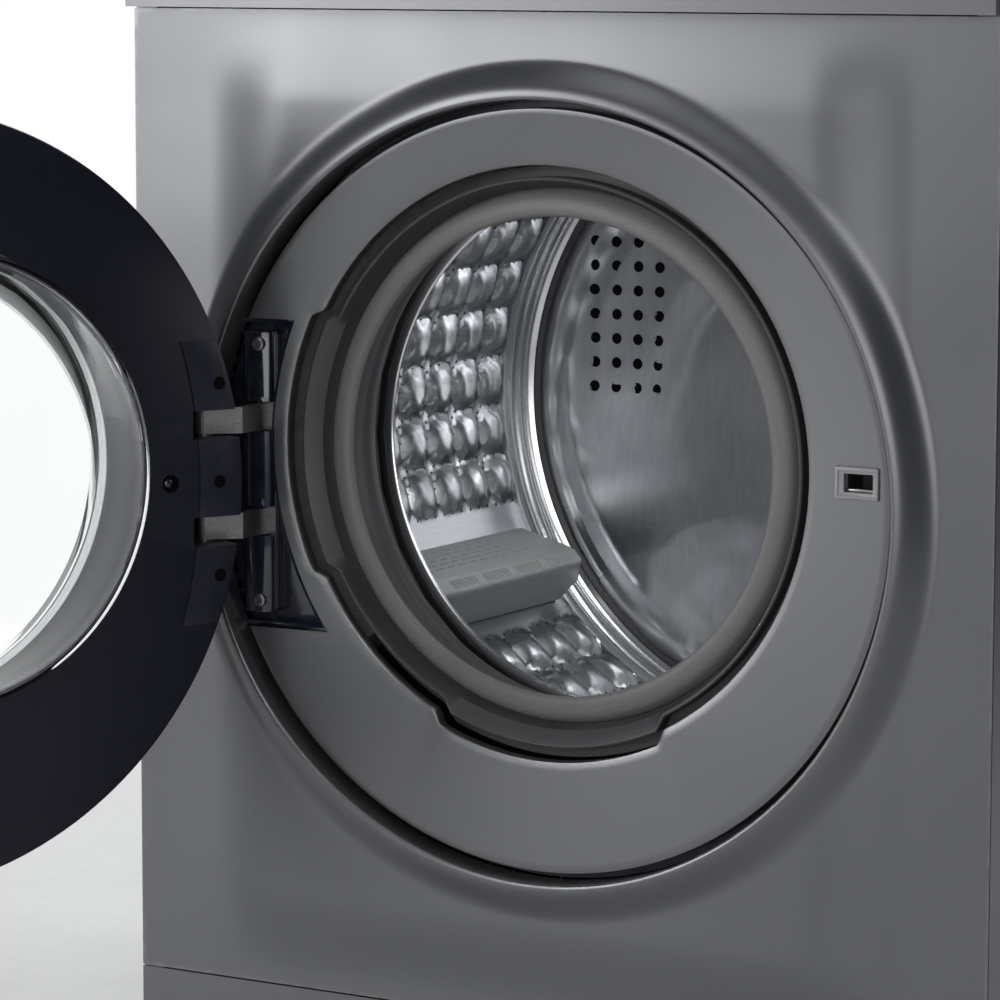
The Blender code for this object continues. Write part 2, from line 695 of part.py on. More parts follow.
def door_trim():
    """The outer ring, rounded to the front, with a finger pocket opposite the hinge."""
    path = [(DOOR_R, DOOR_FACE_Y - FRAME_THICK - TOUCH), (DOOR_R, -0.012), (DOOR_R - 0.008, -0.028),
            (DOOR_R - 0.022, DOOR_FRONT_Y), (DOOR_R - 0.068, DOOR_FRONT_Y + 0.002), (DOOR_R - 0.084, -0.018)]
    trim = turned("door_trim", wall(path[::-1], TRIM_WALL), GRAPHITE, DOOR, (0.0, 0.0, DOOR_Z),
                  steps=COLLAR_ROUND)
    pocket = box("finger_pocket", (DOOR_R - 0.012, -0.030, DOOR_Z - 0.045), (DOOR_R + 0.01, -0.012,
                 DOOR_Z + 0.045), BLACK, DOOR)
    low, high = PIN_LOW - 0.0015, PIN_HIGH + 0.0015
    hinge_pocket = box("hinge_pocket", (-DOOR_R - 0.01, -0.0255, low), (HINGE_X + 0.0237, 0.02, high), BLACK,
                       DOOR)
    return cut(trim, pocket, hinge_pocket)


def door_glass():
    """The bowl: a flange behind the frame, a slightly tapered wall and a domed end."""
    flange = DOOR_FACE_Y - FRAME_THICK - TOUCH
    depth = BOWL_DEPTH
    outer = [(BOWL_R + 0.0095, flange), (BOWL_R, flange), (BOWL_R - 0.0003, 0.012),
             (BOWL_R - 0.0035, depth - 0.053), (BOWL_R - 0.0075, depth - 0.019),
             (BOWL_R - 0.0155, depth - 0.008), (BOWL_R - 0.0335, depth - 0.0025),
             (BOWL_R - 0.0835, depth - 0.0005), (0.0, depth)]
    inner = [(0.0, depth - GLASS_WALL)]
    for radius, along in outer[-2:1:-1]:
        inner.append((radius - GLASS_WALL * 0.9, along - GLASS_WALL * 0.7))
    inner += [(BOWL_R - GLASS_WALL, flange - GLASS_WALL), (BOWL_R + 0.0095, flange - GLASS_WALL)]
    return turned("door_glass", outer + inner, GLASS, DOOR, (0.0, 0.0, MOUTH_Z))


def latch_hook():
    """The sprung hook: a stem with a barb towards the rim, round a short pivot."""
    stem, tip = LATCH_X, HOOK_TIP_Y
    plan = [(stem - 0.003, 0.0), (stem + 0.0025, 0.0), (stem + 0.0025, tip - 0.010),
            (stem + 0.0060, tip - 0.007), (stem + 0.0010, tip), (stem - 0.0030, tip - 0.003)]
    low, high = LATCH_Z - HOOK_THICK / 2, LATCH_Z + HOOK_THICK / 2
    return outline("latch_hook", [plan], low, high, BRUSHED, HOOK, "Z")


# ---- Gasket, drum and tub ----
def gasket():
    """The rubber seal: flange in the surround's groove, lip, fold, and a collar in the tub's mouth."""
    front = SURROUND_Y
    flange, lip, tail = GROOVE_R - 0.0015, MOUTH_R + 0.0095, TUB_MOUTH_R - TOUCH * 2
    end = TUB_FRONT_Y - 0.003
    profile = [(flange, front + 0.016), (flange, front + 0.005), (flange - 0.008, front + 0.0015),
               (lip + 0.006, front + 0.012), (MOUTH_R, front + 0.0140), (MOUTH_R - 0.001, front + 0.0165),
               (MOUTH_R + 0.009, front + 0.025), (MOUTH_R + 0.009, front + 0.046), (tail - 0.003, front + 0.056),
               (tail - 0.003, end), (tail, end), (tail, front + 0.054), (MOUTH_R + 0.012, front + 0.044),
               (MOUTH_R + 0.012, front + 0.024)]
    return turned("gasket", profile, RUBBER, MACHINE, (0.0, 0.0, MOUTH_Z))


def drum_shell():
    """The stainless wrapper with its rolled front edge and the beads before the rear seam."""
    front, rear = DRUM_FRONT_Y, DRUM_BACK_Y
    path = [(DRUM_LIP_R, front + 0.002), (DRUM_LIP_R + 0.006, front), (DRUM_R - 0.022, front + 0.004),
            (DRUM_R - 0.004, front + 0.013), (DRUM_R, front + 0.026), (DRUM_R, rear - 0.038),
            (DRUM_R - 0.004, rear - 0.034), (DRUM_R - 0.004, rear - 0.024), (DRUM_R - 0.008, rear - 0.020),
            (DRUM_R - 0.008, rear - 0.008), (DRUM_R - 0.012, rear - 0.003), (DRUM_R - 0.012, rear)]
    return turned("drum_shell", wall(path, DRUM_SHEET), STAINLESS, DRUM, (0.0, 0.0, MOUTH_Z))


def drum_back():
    """The rear disc of the drum, dished towards the front."""
    rear = DRUM_BACK_Y + TOUCH
    edge = DRUM_R - 0.012
    face = [(0.0, rear - 0.008), (0.040, rear - 0.008), (0.062, rear - 0.004), (edge - 0.028, rear - 0.004),
            (edge - 0.014, rear), (edge, rear)]
    back = [(edge, rear + DRUM_SHEET), (edge - 0.015, rear + DRUM_SHEET),
            (edge - 0.029, rear - 0.004 + DRUM_SHEET), (0.063, rear - 0.004 + DRUM_SHEET),
            (0.041, rear - 0.008 + DRUM_SHEET), (0.0, rear - 0.008 + DRUM_SHEET)]
    return turned("drum_back", face + back, STAINLESS, DRUM, (0.0, 0.0, MOUTH_Z))


def lifter(index):
    """One of the paddles along the drum's wall: a tapered bar with rounded edges."""
    flat = DRUM_R * math.cos(math.pi / ROUND)
    base = math.sqrt(flat ** 2 - (LIFTER_BASE / 2) ** 2) - TOUCH * 2
    top = base - LIFTER_HEIGHT
    section = [(base, -LIFTER_BASE / 2), (base, LIFTER_BASE / 2), (top + 0.012, LIFTER_TOP / 2 + 0.004),
               (top, LIFTER_TOP / 2 - 0.004), (top, -LIFTER_TOP / 2 + 0.004),
               (top + 0.012, -LIFTER_TOP / 2 - 0.004)]
    start = DRUM_FRONT_Y + LIFTER_INSET
    obj = outline(f"lifter_{index + 1}", [section], start, start + LIFTER_LENGTH, GREY, DRUM)
    turn = math.radians(LIFTER_ANGLE + 360 / LIFTER_COUNT * index)
    obj.location.z = MOUTH_Z
    obj.rotation_euler = Euler((math.pi / 2, -turn, 0.0), "XYZ")
    return obj


def drum_spider():
    """The three-armed casting behind the drum, with the drive shaft in it."""
    front = DRUM_BACK_Y + TOUCH * 2 + DRUM_SHEET
    centre = (0.0, 0.0, MOUTH_Z)
    shaft = turned("drum_spider", [(0.0, SHAFT_END_Y), (SHAFT_R, SHAFT_END_Y), (SHAFT_R, front + 0.026),
                                   (0.026, front + 0.022), (0.034, front), (0.0, front)],
                   CAST, DRUM, centre, steps=32)
    reach = DRUM_R - 0.016
    for index in range(LIFTER_COUNT):
        turn = math.radians(LIFTER_ANGLE + 60 + 360 / LIFTER_COUNT * index)
        arm = box(f"spider_arm_{index}", (0.0, front + 0.0002, -SPIDER_ARM / 2),
                  (reach, front + 0.014, SPIDER_ARM / 2), CAST, DRUM)
        arm.location = (reach / 2 * math.cos(turn), front + 0.0071, MOUTH_Z + reach / 2 * math.sin(turn))
        arm.rotation_euler = (0.0, -turn, 0.0)
        join(shaft, arm)
    return shaft


def tub_front():
    """The front half of the plastic tub, with its mouth's collar and the dampers' lugs."""
    face, split = TUB_FRONT_Y, TUB_SPLIT
    outer = TUB_R + TUB_WALL
    profile = [(TUB_MOUTH_R, face - 0.016), (TUB_MOUTH_R, face), (TUB_R, face), (TUB_R, split),
               (TUB_R + TUB_FLANGE, split), (TUB_R + TUB_FLANGE, split - 0.006), (outer, split - 0.006),
               (outer, face - TUB_WALL), (TUB_MOUTH_R + TUB_WALL, face - TUB_WALL),
               (TUB_MOUTH_R + TUB_WALL, face - 0.016)]
    tub = turned("tub_front", profile, PALE, TUB, (0.0, 0.0, MOUTH_Z))
    for side in (-1, 1):
        middle = side * DAMPER_X
        surface = MOUTH_Z - math.sqrt((TUB_R + 0.001) ** 2 - (DAMPER_X - LUG_HALF) ** 2)
        lug = box(f"damper_lug_{side}", (middle - LUG_HALF, DAMPER_Y - LUG_HALF, LUG_BOTTOM),
                  (middle + LUG_HALF, DAMPER_Y + LUG_HALF, surface + 0.012), PALE, TUB)
        join(tub, lug)
    hollow = rod("tub_hollow", TUB_R, face + 0.02, split - 0.01, BLACK, TUB, (0.0, 0.0, MOUTH_Z), steps=ROUND)
    return cut(tub, hollow)


def tub_rear():
    """The rear half of the tub, with the bearings' hub and the springs' lugs."""
    split, back = TUB_SPLIT + TOUCH, TUB_BACK_Y
    outer, seat = TUB_R + TUB_WALL, BEARING_R + TOUCH
    profile = [(TUB_R + TUB_FLANGE, split), (TUB_R, split), (TUB_R, back), (seat + HUB_WALL, back),
               (seat + HUB_WALL, back - 0.006), (seat, back - 0.006), (seat, HUB_BACK_Y),
               (seat + HUB_WALL, HUB_BACK_Y), (seat + HUB_WALL, back + TUB_WALL + 0.001),
               (outer, back + TUB_WALL + 0.001), (outer, split + 0.006), (TUB_R + TUB_FLANGE, split + 0.006)]
    tub = turned("tub_rear", profile, PALE, TUB, (0.0, 0.0, MOUTH_Z))
    for side in (-1, 1):
        rise = SPRING_LUG_Z - MOUTH_Z
        surface = math.sqrt((outer - 0.001) ** 2 - rise ** 2) - 0.004
        ends = sorted((side * surface, side * (SPRING_X + 0.016)))
        lug = box(f"spring_lug_{side}", (ends[0], SPRING_Y - 0.016, SPRING_LUG_Z - 0.012),
                  (ends[1], SPRING_Y + 0.016, SPRING_LUG_Z), PALE, TUB)
        join(tub, lug)
    return tub


def bearing(name, start):
    """A ball bearing as one ring between shaft and hub."""
    return tube(name, SHAFT_R + TOUCH, BEARING_R, start, start + BEARING_WIDTH, BRUSHED, TUB,
                (0.0, 0.0, MOUTH_Z), steps=20)


def counterweight_front():
    """The concrete ring round the tub's mouth, open at the bottom."""
    inner, outer = TUB_MOUTH_R + TUB_WALL + 0.008, TUB_R - 0.004
    points = arc(outer, -40, 220, 22, (0.0, MOUTH_Z)) + arc(inner, 220, -40, 22, (0.0, MOUTH_Z))
    rear = TUB_FRONT_Y - TUB_WALL - TOUCH
    return outline("counterweight_front", [points], rear - 0.036, rear, CONCRETE, TUB)


def drum_pulley():
    """The large pulley: rim, web with lightening holes, and hub."""
    y, width = PULLEY_Y, PULLEY_WIDTH
    profile = [(PULLEY_R, y + width), (PULLEY_R, y), (PULLEY_R - 0.006, y), (PULLEY_R - 0.006, y + 0.006),
               (0.024, y + 0.006), (0.024, y), (SHAFT_R + TOUCH, y), (SHAFT_R + TOUCH, y + width),
               (0.024, y + width), (0.024, y + 0.010), (PULLEY_R - 0.006, y + 0.010), (PULLEY_R - 0.006, y + width)]
    pulley = turned("drum_pulley", profile, CAST, DRUM, (0.0, 0.0, MOUTH_Z))
    for index in range(5):
        turn = math.radians(72 * index)
        place = (0.082 * math.cos(turn), 0.0, MOUTH_Z + 0.082 * math.sin(turn))
        cut(pulley, rod(f"pulley_hole_{index}", 0.028, y - 0.01, y + width + 0.01, BLACK, DRUM, place, steps=8))
    return pulley


def belt_loop(grow):
    """The belt's path: round both pulleys, joined by their outer tangents."""
    far = Vector((MOTOR_X, MOTOR_Z)) - Vector((0.0, MOUTH_Z))
    large, small = PULLEY_R + TOUCH + grow, MOTOR_PULLEY_R + TOUCH + grow
    along = math.degrees(math.atan2(far.y, far.x))
    lean = math.degrees(math.acos((large - small) / far.length))
    points = arc(large, along + lean, along + 360 - lean, 26, (0.0, MOUTH_Z))
    return points + arc(small, along - lean, along + lean, 10, (MOTOR_X, MOTOR_Z))


def drive_belt():
    """The belt round both pulleys."""
    start = PULLEY_Y + (PULLEY_WIDTH - BELT_WIDTH) / 2
    return outline("drive_belt", [belt_loop(BELT_THICK), belt_loop(0.0003)], start, start + BELT_WIDTH,
                   BLACK, TUB)


def motor():
    """The motor under the tub, with its end bells and the ear that it is bolted up by."""
    end = PULLEY_Y - 0.008
    start = end - MOTOR_LENGTH
    profile = [(0.0, end + 0.004), (0.020, end + 0.004), (0.022, end), (MOTOR_R - 0.008, end),
               (MOTOR_R, end - 0.012), (MOTOR_R, start + 0.012), (MOTOR_R - 0.010, start), (0.0, start)]
    body = turned("motor", profile, CAST, TUB, (MOTOR_X, 0.0, MOTOR_Z), steps=20)
    tub_low = MOUTH_Z - TUB_R - TUB_WALL
    ear = box("motor_ear", (MOTOR_X - 0.016, start + 0.03, MOTOR_Z), (MOTOR_X + 0.016, end - 0.03,
              tub_low - 0.002), CAST, TUB)
    return join(body, ear)


def motor_pulley():
    """The small pulley on the motor's shaft."""
    return rod("motor_pulley", MOTOR_PULLEY_R, PULLEY_Y, PULLEY_Y + PULLEY_WIDTH, BRUSHED, ROTOR,
               (MOTOR_X, 0.0, MOTOR_Z))


def heater():
    """The heating element: a flat U in the gap below the drum."""
    radius = TUB_R - TUB_PLAY / 2
    start, end = TUB_BACK_Y - 0.006, TUB_SPLIT - 0.110
    half = 0.020
    low = MOUTH_Z - math.sqrt(radius ** 2 - half ** 2)
    points = [(-half, start, low), (-half, end + half, low)]
    for x, y in arc(half, 180, 360, 8, (0.0, end + half))[1:-1]:
        points.append((x, y, MOUTH_Z - math.sqrt(radius ** 2 - x ** 2)))
    points += [(half, end + half, low), (half, start, low)]
    return wire("heater", points, 0.0035, BRUSHED, TUB)


# ---- Suspension ----
def suspension_spring(side):
    """A coil spring between the cabinet's bracket and the tub's lug."""
    low = SPRING_LUG_Z + SPRING_WIRE + TOUCH
    high = HEIGHT - SPRING_TOP_DROP - SPRING_WIRE - TOUCH
    points = []
    per_turn = 7
    for step in range(SPRING_TURNS * per_turn + 1):
        angle = 2 * math.pi * step / per_turn
        share = step / (SPRING_TURNS * per_turn)
        points.append((side * SPRING_X + SPRING_R * math.cos(angle),
                       SPRING_Y + SPRING_R * math.sin(angle), low + (high - low) * share))
    name = "suspension_spring_right" if side > 0 else "suspension_spring_left"
    return wire(name, points, SPRING_WIRE * 0.9, BRUSHED, MACHINE, 1)


def damper(side):
    """A friction damper: its cylinder on the base pan and its rod under the tub's lug."""
    word = "right" if side > 0 else "left"
    low = FEET_HEIGHT + PAN_WALL + TOUCH * 2
    centre = (side * DAMPER_X, DAMPER_Y, 0.0)
    bore = ROD_R + ROD_PLAY
    profile = [(0.0, low), (0.0, low + 0.030), (bore, low + 0.030), (bore, DAMPER_TOP), (DAMPER_R, DAMPER_TOP),
               (DAMPER_R, low + 0.012), (DAMPER_R + 0.006, low + 0.008), (DAMPER_R + 0.006, low)]
    turned(f"damper_cylinder_{word}", profile, BLACK, MACHINE, centre, "Z", 14)
    return rod(f"damper_rod_{word}", ROD_R, low + 0.042, LUG_BOTTOM - TOUCH, BRUSHED, TUB, centre, "Z", 14)


# ---- Control panel ----
def through_fascia(name, x, z, radius):
    """A round hole through the control panel's front wall."""
    return rod(name, radius, FASCIA_Y - 0.01, FASCIA_Y + 0.02, BLACK, MACHINE, (x, 0.0, z))


def control_panel():
    """The plastic front of the controls, open for drawer, display, knob and buttons."""
    low, high = (-HALF, FASCIA_Y, FASCIA_LOW), (HALF, SIDE_Y - TOUCH, FASCIA_TOP)
    panel = box("control_panel", low, high, GRAPHITE, MACHINE)
    wall_in = FASCIA_WALL
    hollow = box("fascia_hollow", (-HALF + wall_in, FASCIA_Y + wall_in, FASCIA_LOW + wall_in),
                 (HALF - wall_in, SIDE_Y + 0.01, FASCIA_TOP - wall_in), BLACK, MACHINE)
    drawer = box("drawer_opening", (DRAWER_X - DRAWER_WIDTH / 2 - FIT, -0.01, DRAWER_LOW - FIT),
                 (DRAWER_X + DRAWER_WIDTH / 2 + FIT, 0.03, DRAWER_HIGH + FIT), BLACK, MACHINE)
    window = box("window_opening", (DISPLAY_X - DISPLAY_WIDTH / 2 - TOUCH, -0.01,
                                    FASCIA_MID - DISPLAY_HEIGHT / 2 - TOUCH),
                 (DISPLAY_X + DISPLAY_WIDTH / 2 + TOUCH, 0.03, FASCIA_MID + DISPLAY_HEIGHT / 2 + TOUCH),
                 BLACK, MACHINE)
    cut(panel, hollow, drawer, window, through_fascia("knob_hole", KNOB_X, FASCIA_MID, KNOB_SHAFT_R + FIT))
    for name, x in BUTTON_X.items():
        cut(panel, through_fascia(f"{name}_hole", x, FASCIA_MID, BUTTON_R + BUTTON_PLAY))
    return panel


def display_window():
    """The dark window over the display and the touch keys."""
    return box("display_window", (DISPLAY_X - DISPLAY_WIDTH / 2, FASCIA_Y - 0.0005,
                                  FASCIA_MID - DISPLAY_HEIGHT / 2),
               (DISPLAY_X + DISPLAY_WIDTH / 2, FASCIA_Y + 0.002, FASCIA_MID + DISPLAY_HEIGHT / 2),
               TINTED, MACHINE)


def control_board():
    """The electronics' tray behind the display."""
    return box("control_board", (KNOB_X + 0.030, SIDE_Y + 0.006, FASCIA_LOW + 0.014),
               (HALF - 0.030, SIDE_Y + 0.028, FASCIA_TOP - 0.014), BOARD, MACHINE)


def programme_knob():
    """The programme selector with its shaft through the control panel."""
    face, skirt = FASCIA_Y - 0.0005 - KNOB_HEIGHT, FASCIA_Y - 0.0005
    profile = [(0.0, face), (KNOB_R - 0.005, face), (KNOB_R - 0.002, face + 0.002), (KNOB_R, skirt),
               (KNOB_SHAFT_R, skirt), (KNOB_SHAFT_R, skirt + 0.014), (0.0, skirt + 0.014)]
    knob = turned("programme_knob", profile, GRAPHITE, pivot("knob_pivot", (KNOB_X, 0.0, FASCIA_MID), MACHINE),
                  (KNOB_X, 0.0, FASCIA_MID), steps=24)
    mark = box("knob_mark", (KNOB_X - 0.001, face - 0.01, FASCIA_MID + KNOB_R * 0.45),
               (KNOB_X + 0.001, face + 0.001, FASCIA_MID + KNOB_R * 0.9), BLACK, MACHINE)
    return cut(knob, mark)


def push_button(name, x):
    """A round button that stands just proud of the control panel."""
    profile = [(0.0, FASCIA_Y - 0.003), (BUTTON_R - 0.001, FASCIA_Y - 0.003), (BUTTON_R, FASCIA_Y - 0.002),
               (BUTTON_R, FASCIA_Y + 0.006), (0.0, FASCIA_Y + 0.006)]
    return turned(name, profile, GREY, MACHINE, (x, 0.0, FASCIA_MID), steps=16)


def dispenser_housing():
    """The box that the detergent drawer slides in."""
    left, right = DRAWER_X - DRAWER_WIDTH / 2, DRAWER_X + DRAWER_WIDTH / 2
    front, back = SIDE_Y + SHEET + FIT, SIDE_Y + SHEET + FIT + DRAWER_DEPTH + 0.030
    low, high = DRAWER_LOW - 0.003, TOP_Z - 0.004
    housing = box("dispenser_housing", (left, front, low), (right, back, high), PALE, MACHINE)
    thick = HOUSING_WALL
    room = box("housing_room", (left + thick, front - 0.01, low + thick), (right - thick, back - thick,
               high - thick), BLACK, MACHINE)
    spout = tube("housing_spout", 0.010, 0.013, low - 0.030, low + 0.001, PALE, MACHINE,
                 (DRAWER_X, back - 0.060, 0.0), "Z", 20)
    drain = rod("spout_bore", 0.010, low - 0.05, low + 0.01, BLACK, MACHINE, (DRAWER_X, back - 0.060, 0.0),
                "Z", 20)
    return cut(join(cut(housing, room), spout), drain)


def detergent_drawer():
    """The tray with its three compartments."""
    margin = HOUSING_WALL + 0.003
    left, right = DRAWER_X - DRAWER_WIDTH / 2 + margin, DRAWER_X + DRAWER_WIDTH / 2 - margin
    front, back = 0.0125, 0.0125 + DRAWER_DEPTH
    low, high = DRAWER_LOW + 0.002, DRAWER_LOW + 0.002 + TRAY_HEIGHT
    tray = box("detergent_drawer", (left, front, low), (right, back, high), PALE, DRAWER)
    thick = TRAY_WALL
    split_x, split_y = left + (right - left) * 0.60, front + DRAWER_DEPTH * 0.45
    cells = (((left, front), (split_x, split_y)), ((left, split_y), (split_x, back)), ((split_x, front),
             (right, back)))
    for index, ((x1, y1), (x2, y2)) in enumerate(cells):
        inset_left = thick if x1 == left else thick / 2
        inset_right = thick if x2 == right else thick / 2
        inset_front = thick if y1 == front else thick / 2
        inset_back = thick if y2 == back else thick / 2
        cut(tray, box(f"tray_cell_{index}", (x1 + inset_left, y1 + inset_front, low + thick),
                      (x2 - inset_right, y2 - inset_back, high + 0.01), BLACK, DRAWER))
    return tray


def drawer_front():
    """The drawer's front, with a grip cut in behind its lower edge."""
    left, right = DRAWER_X - DRAWER_WIDTH / 2, DRAWER_X + DRAWER_WIDTH / 2
    face = FASCIA_Y - 0.001
    front = box("drawer_front", (left, face, DRAWER_LOW), (right, 0.0125 - TOUCH, DRAWER_HIGH), GRAPHITE,
                DRAWER)
    grip = box("drawer_grip", (DRAWER_X - 0.045, face - 0.01, DRAWER_LOW + 0.010),
               (DRAWER_X + 0.045, face + 0.006, DRAWER_LOW + 0.026), BLACK, DRAWER)
    return cut(front, grip)


# ---- Pump ----
PUMP_Y = SIDE_Y + 0.020
PUMP_Z = FEET_HEIGHT + PAN_WALL + TOUCH * 2 + PUMP_R


def pump_housing():
    """The drain pump's cup, open to the front for its filter."""
    inner, back = PUMP_R - PUMP_WALL, PUMP_Y + PUMP_LENGTH
    profile = [(PUMP_R, PUMP_Y), (inner, PUMP_Y), (inner, back - PUMP_WALL), (0.0, back - PUMP_WALL),
               (0.0, back + 0.040), (0.024, back + 0.040), (0.024, back), (PUMP_R, back)]
    cup = turned("pump_housing", profile, GREY, MACHINE, (FLAP_X, 0.0, PUMP_Z), steps=20)
    stub = rod("pump_outlet", 0.012, PUMP_Z + inner + 0.001, PUMP_Z + PUMP_R + 0.028, GREY, MACHINE,
               (FLAP_X, back - 0.022, 0.0), "Z", 20)
    bore = rod("outlet_bore", 0.009, PUMP_Z, PUMP_Z + PUMP_R + 0.05, BLACK, MACHINE,
               (FLAP_X, back - 0.022, 0.0), "Z", 20)
    return cut(join(cup, stub), bore)


def filter_cap():
    """The filter's cap with its grip bar and the strainer behind it."""
    front = PUMP_Y - 0.012
    inner = PUMP_R - PUMP_WALL - FIT
    hub = pivot("filter_pivot", (FLAP_X, front, PUMP_Z), MACHINE)
    profile = [(0.0, front + 0.004), (PUMP_R - 0.002, front + 0.004), (PUMP_R - 0.002, PUMP_Y - FIT),
               (inner, PUMP_Y - FIT), (inner, PUMP_Y + 0.012), (0.022, PUMP_Y + 0.012), (0.022, PUMP_Y + 0.042),
               (0.0, PUMP_Y + 0.042)]
    cap = turned("filter_cap", profile, GREY, hub, (FLAP_X, 0.0, PUMP_Z), steps=20)
    grip = box("filter_grip", (FLAP_X - 0.024, front - 0.003, PUMP_Z - 0.004), (FLAP_X + 0.024, front + 0.006,
               PUMP_Z + 0.004), GREY, hub)
    return join(cap, grip)


def pump_impeller():
    """The pump's four-bladed impeller."""
    start, end = PUMP_Y + 0.050, PUMP_Y + PUMP_LENGTH - PUMP_WALL - 0.002
    spin = pivot("impeller_pivot", (FLAP_X, start, PUMP_Z), MACHINE)
    hub = rod("pump_impeller", 0.006, start, end, BLACK, spin, (FLAP_X, 0.0, PUMP_Z), steps=16)
    reach = PUMP_R - PUMP_WALL - 0.003
    for index, (wide, tall) in enumerate(((reach, 0.001), (0.001, reach))):
        join(hub, box(f"impeller_blade_{index}", (FLAP_X - wide, start + 0.002, PUMP_Z - tall),
                      (FLAP_X + wide, end - 0.001, PUMP_Z + tall), BLACK, spin))
    return hub


def inlet_valve():
    """The water valve inside the rear, with its threaded stub through the panel."""
    z = TOP_Z - VALVE_DROP
    body = box("inlet_valve", (VALVE_X - 0.022, DEPTH - 0.055, z - 0.022),
               (VALVE_X + 0.022, DEPTH - SHEET - TOUCH * 2, z + 0.022), PALE, MACHINE)
    stub = rod("valve_stub", STUB_R, DEPTH - 0.010, DEPTH + STUB_LENGTH, PALE, MACHINE, (VALVE_X, 0.0, z))
    bore = rod("valve_bore", STUB_R - 0.004, DEPTH - 0.005, DEPTH + STUB_LENGTH + 0.01, BLACK, MACHINE,
               (VALVE_X, 0.0, z))
    return cut(join(body, stub), bore)


# ---- Assembly ----
for hand in (-1, 1):
    side_panel(hand)
    suspension_spring(hand)
    damper(hand)
for make in (rear_panel, rear_cover, top_panel, front_panel, door_surround, latch_plate, door_lock, base_pan,
             kick_panel, service_flap, hinge_arms, hinge_bracket, door_frame, door_trim, door_glass, latch_hook,
             gasket, drum_shell, drum_back, drum_spider, tub_front, tub_rear, counterweight_front,
             drum_pulley, drive_belt, motor, motor_pulley, heater, control_panel,
             display_window, control_board, programme_knob, dispenser_housing, detergent_drawer, drawer_front,
             pump_housing, filter_cap, pump_impeller, inlet_valve):
    make()
for corner, (across, along) in enumerate(((-1, 0), (1, 0), (-1, 1), (1, 1))):
    spot = FOOT_INSET + along * (DEPTH - 2 * FOOT_INSET) + 0.010 * (1 - along)
    foot(f"foot_{corner + 1}", across * (HALF - FOOT_INSET), spot)
for number in range(LIFTER_COUNT):
    lifter(number)
bearing("bearing_front", TUB_BACK_Y - 0.004)
bearing("bearing_rear", HUB_BACK_Y - BEARING_WIDTH - 0.002)
for key, where in BUTTON_X.items():
    push_button(key, where)
rod("hinge_pin", PIN_R, PIN_LOW, PIN_HIGH, BRUSHED, DOOR, (HINGE_X, HINGE_Y, 0.0), "Z", 16)

for item in PARTS.objects:
    if item.type == "MESH":
        smooth(item)

# ---- Origin at the middle of the bounding box's bottom face ----
bpy.context.view_layer.update()
DEPS = bpy.context.evaluated_depsgraph_get()
LOW, HIGH = Vector((9.0, 9.0, 9.0)), Vector((-9.0, -9.0, -9.0))
for item in PARTS.objects:
    if item.type in ("MESH", "CURVE"):
        found = item.evaluated_get(DEPS)
        for vertex in found.to_mesh().vertices:
            place = found.matrix_world @ vertex.co
            LOW = Vector(map(min, LOW, place))
            HIGH = Vector(map(max, HIGH, place))
        found.to_mesh_clear()
MACHINE.location = (-(LOW.x + HIGH.x) / 2, -(LOW.y + HIGH.y) / 2, -LOW.z)
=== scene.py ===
"""Looks of a front load washing machine with its door open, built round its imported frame."""
import json
import logging
import math
from collections.abc import Callable, Iterator, Sequence
from contextlib import contextmanager
from dataclasses import dataclass, replace
from enum import Enum

import bpy
from mathutils import Matrix, Vector


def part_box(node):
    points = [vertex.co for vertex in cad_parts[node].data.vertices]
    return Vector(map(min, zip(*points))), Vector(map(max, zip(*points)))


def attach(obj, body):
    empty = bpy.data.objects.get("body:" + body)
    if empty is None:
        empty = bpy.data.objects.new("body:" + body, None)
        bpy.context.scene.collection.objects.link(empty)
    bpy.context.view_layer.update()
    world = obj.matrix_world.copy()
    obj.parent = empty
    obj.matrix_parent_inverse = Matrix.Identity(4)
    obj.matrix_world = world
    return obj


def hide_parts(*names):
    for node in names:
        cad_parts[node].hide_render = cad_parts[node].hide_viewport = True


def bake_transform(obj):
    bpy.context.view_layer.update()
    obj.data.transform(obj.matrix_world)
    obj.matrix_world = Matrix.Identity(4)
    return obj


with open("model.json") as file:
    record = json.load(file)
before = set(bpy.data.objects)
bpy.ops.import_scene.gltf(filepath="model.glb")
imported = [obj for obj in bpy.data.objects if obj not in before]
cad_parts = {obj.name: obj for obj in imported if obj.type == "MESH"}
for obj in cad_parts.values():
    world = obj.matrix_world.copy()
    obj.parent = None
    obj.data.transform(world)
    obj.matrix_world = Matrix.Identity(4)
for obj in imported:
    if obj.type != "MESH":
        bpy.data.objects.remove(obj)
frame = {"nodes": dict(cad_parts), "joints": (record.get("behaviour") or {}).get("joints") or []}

LOG = logging.getLogger("washing_machine")
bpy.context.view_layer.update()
MM = 0.001
FULL_TURN = 2 * math.pi
MERGE = 1e-5

Point = tuple[float, float]
Colour = tuple[float, float, float]
Object = bpy.types.Object
Material = bpy.types.Material
Socket = bpy.types.NodeSocket


class Pick(Enum):
    """What edit mode selects: vertices, edges or faces."""

    VERTS = (True, False, False)
    EDGES = (False, True, False)
    FACES = (False, False, True)


class Axis(Enum):
    """A direction that turned pieces are spun round."""

    DEPTH = (0.0, 1.0, 0.0)
    UP = (0.0, 0.0, 1.0)


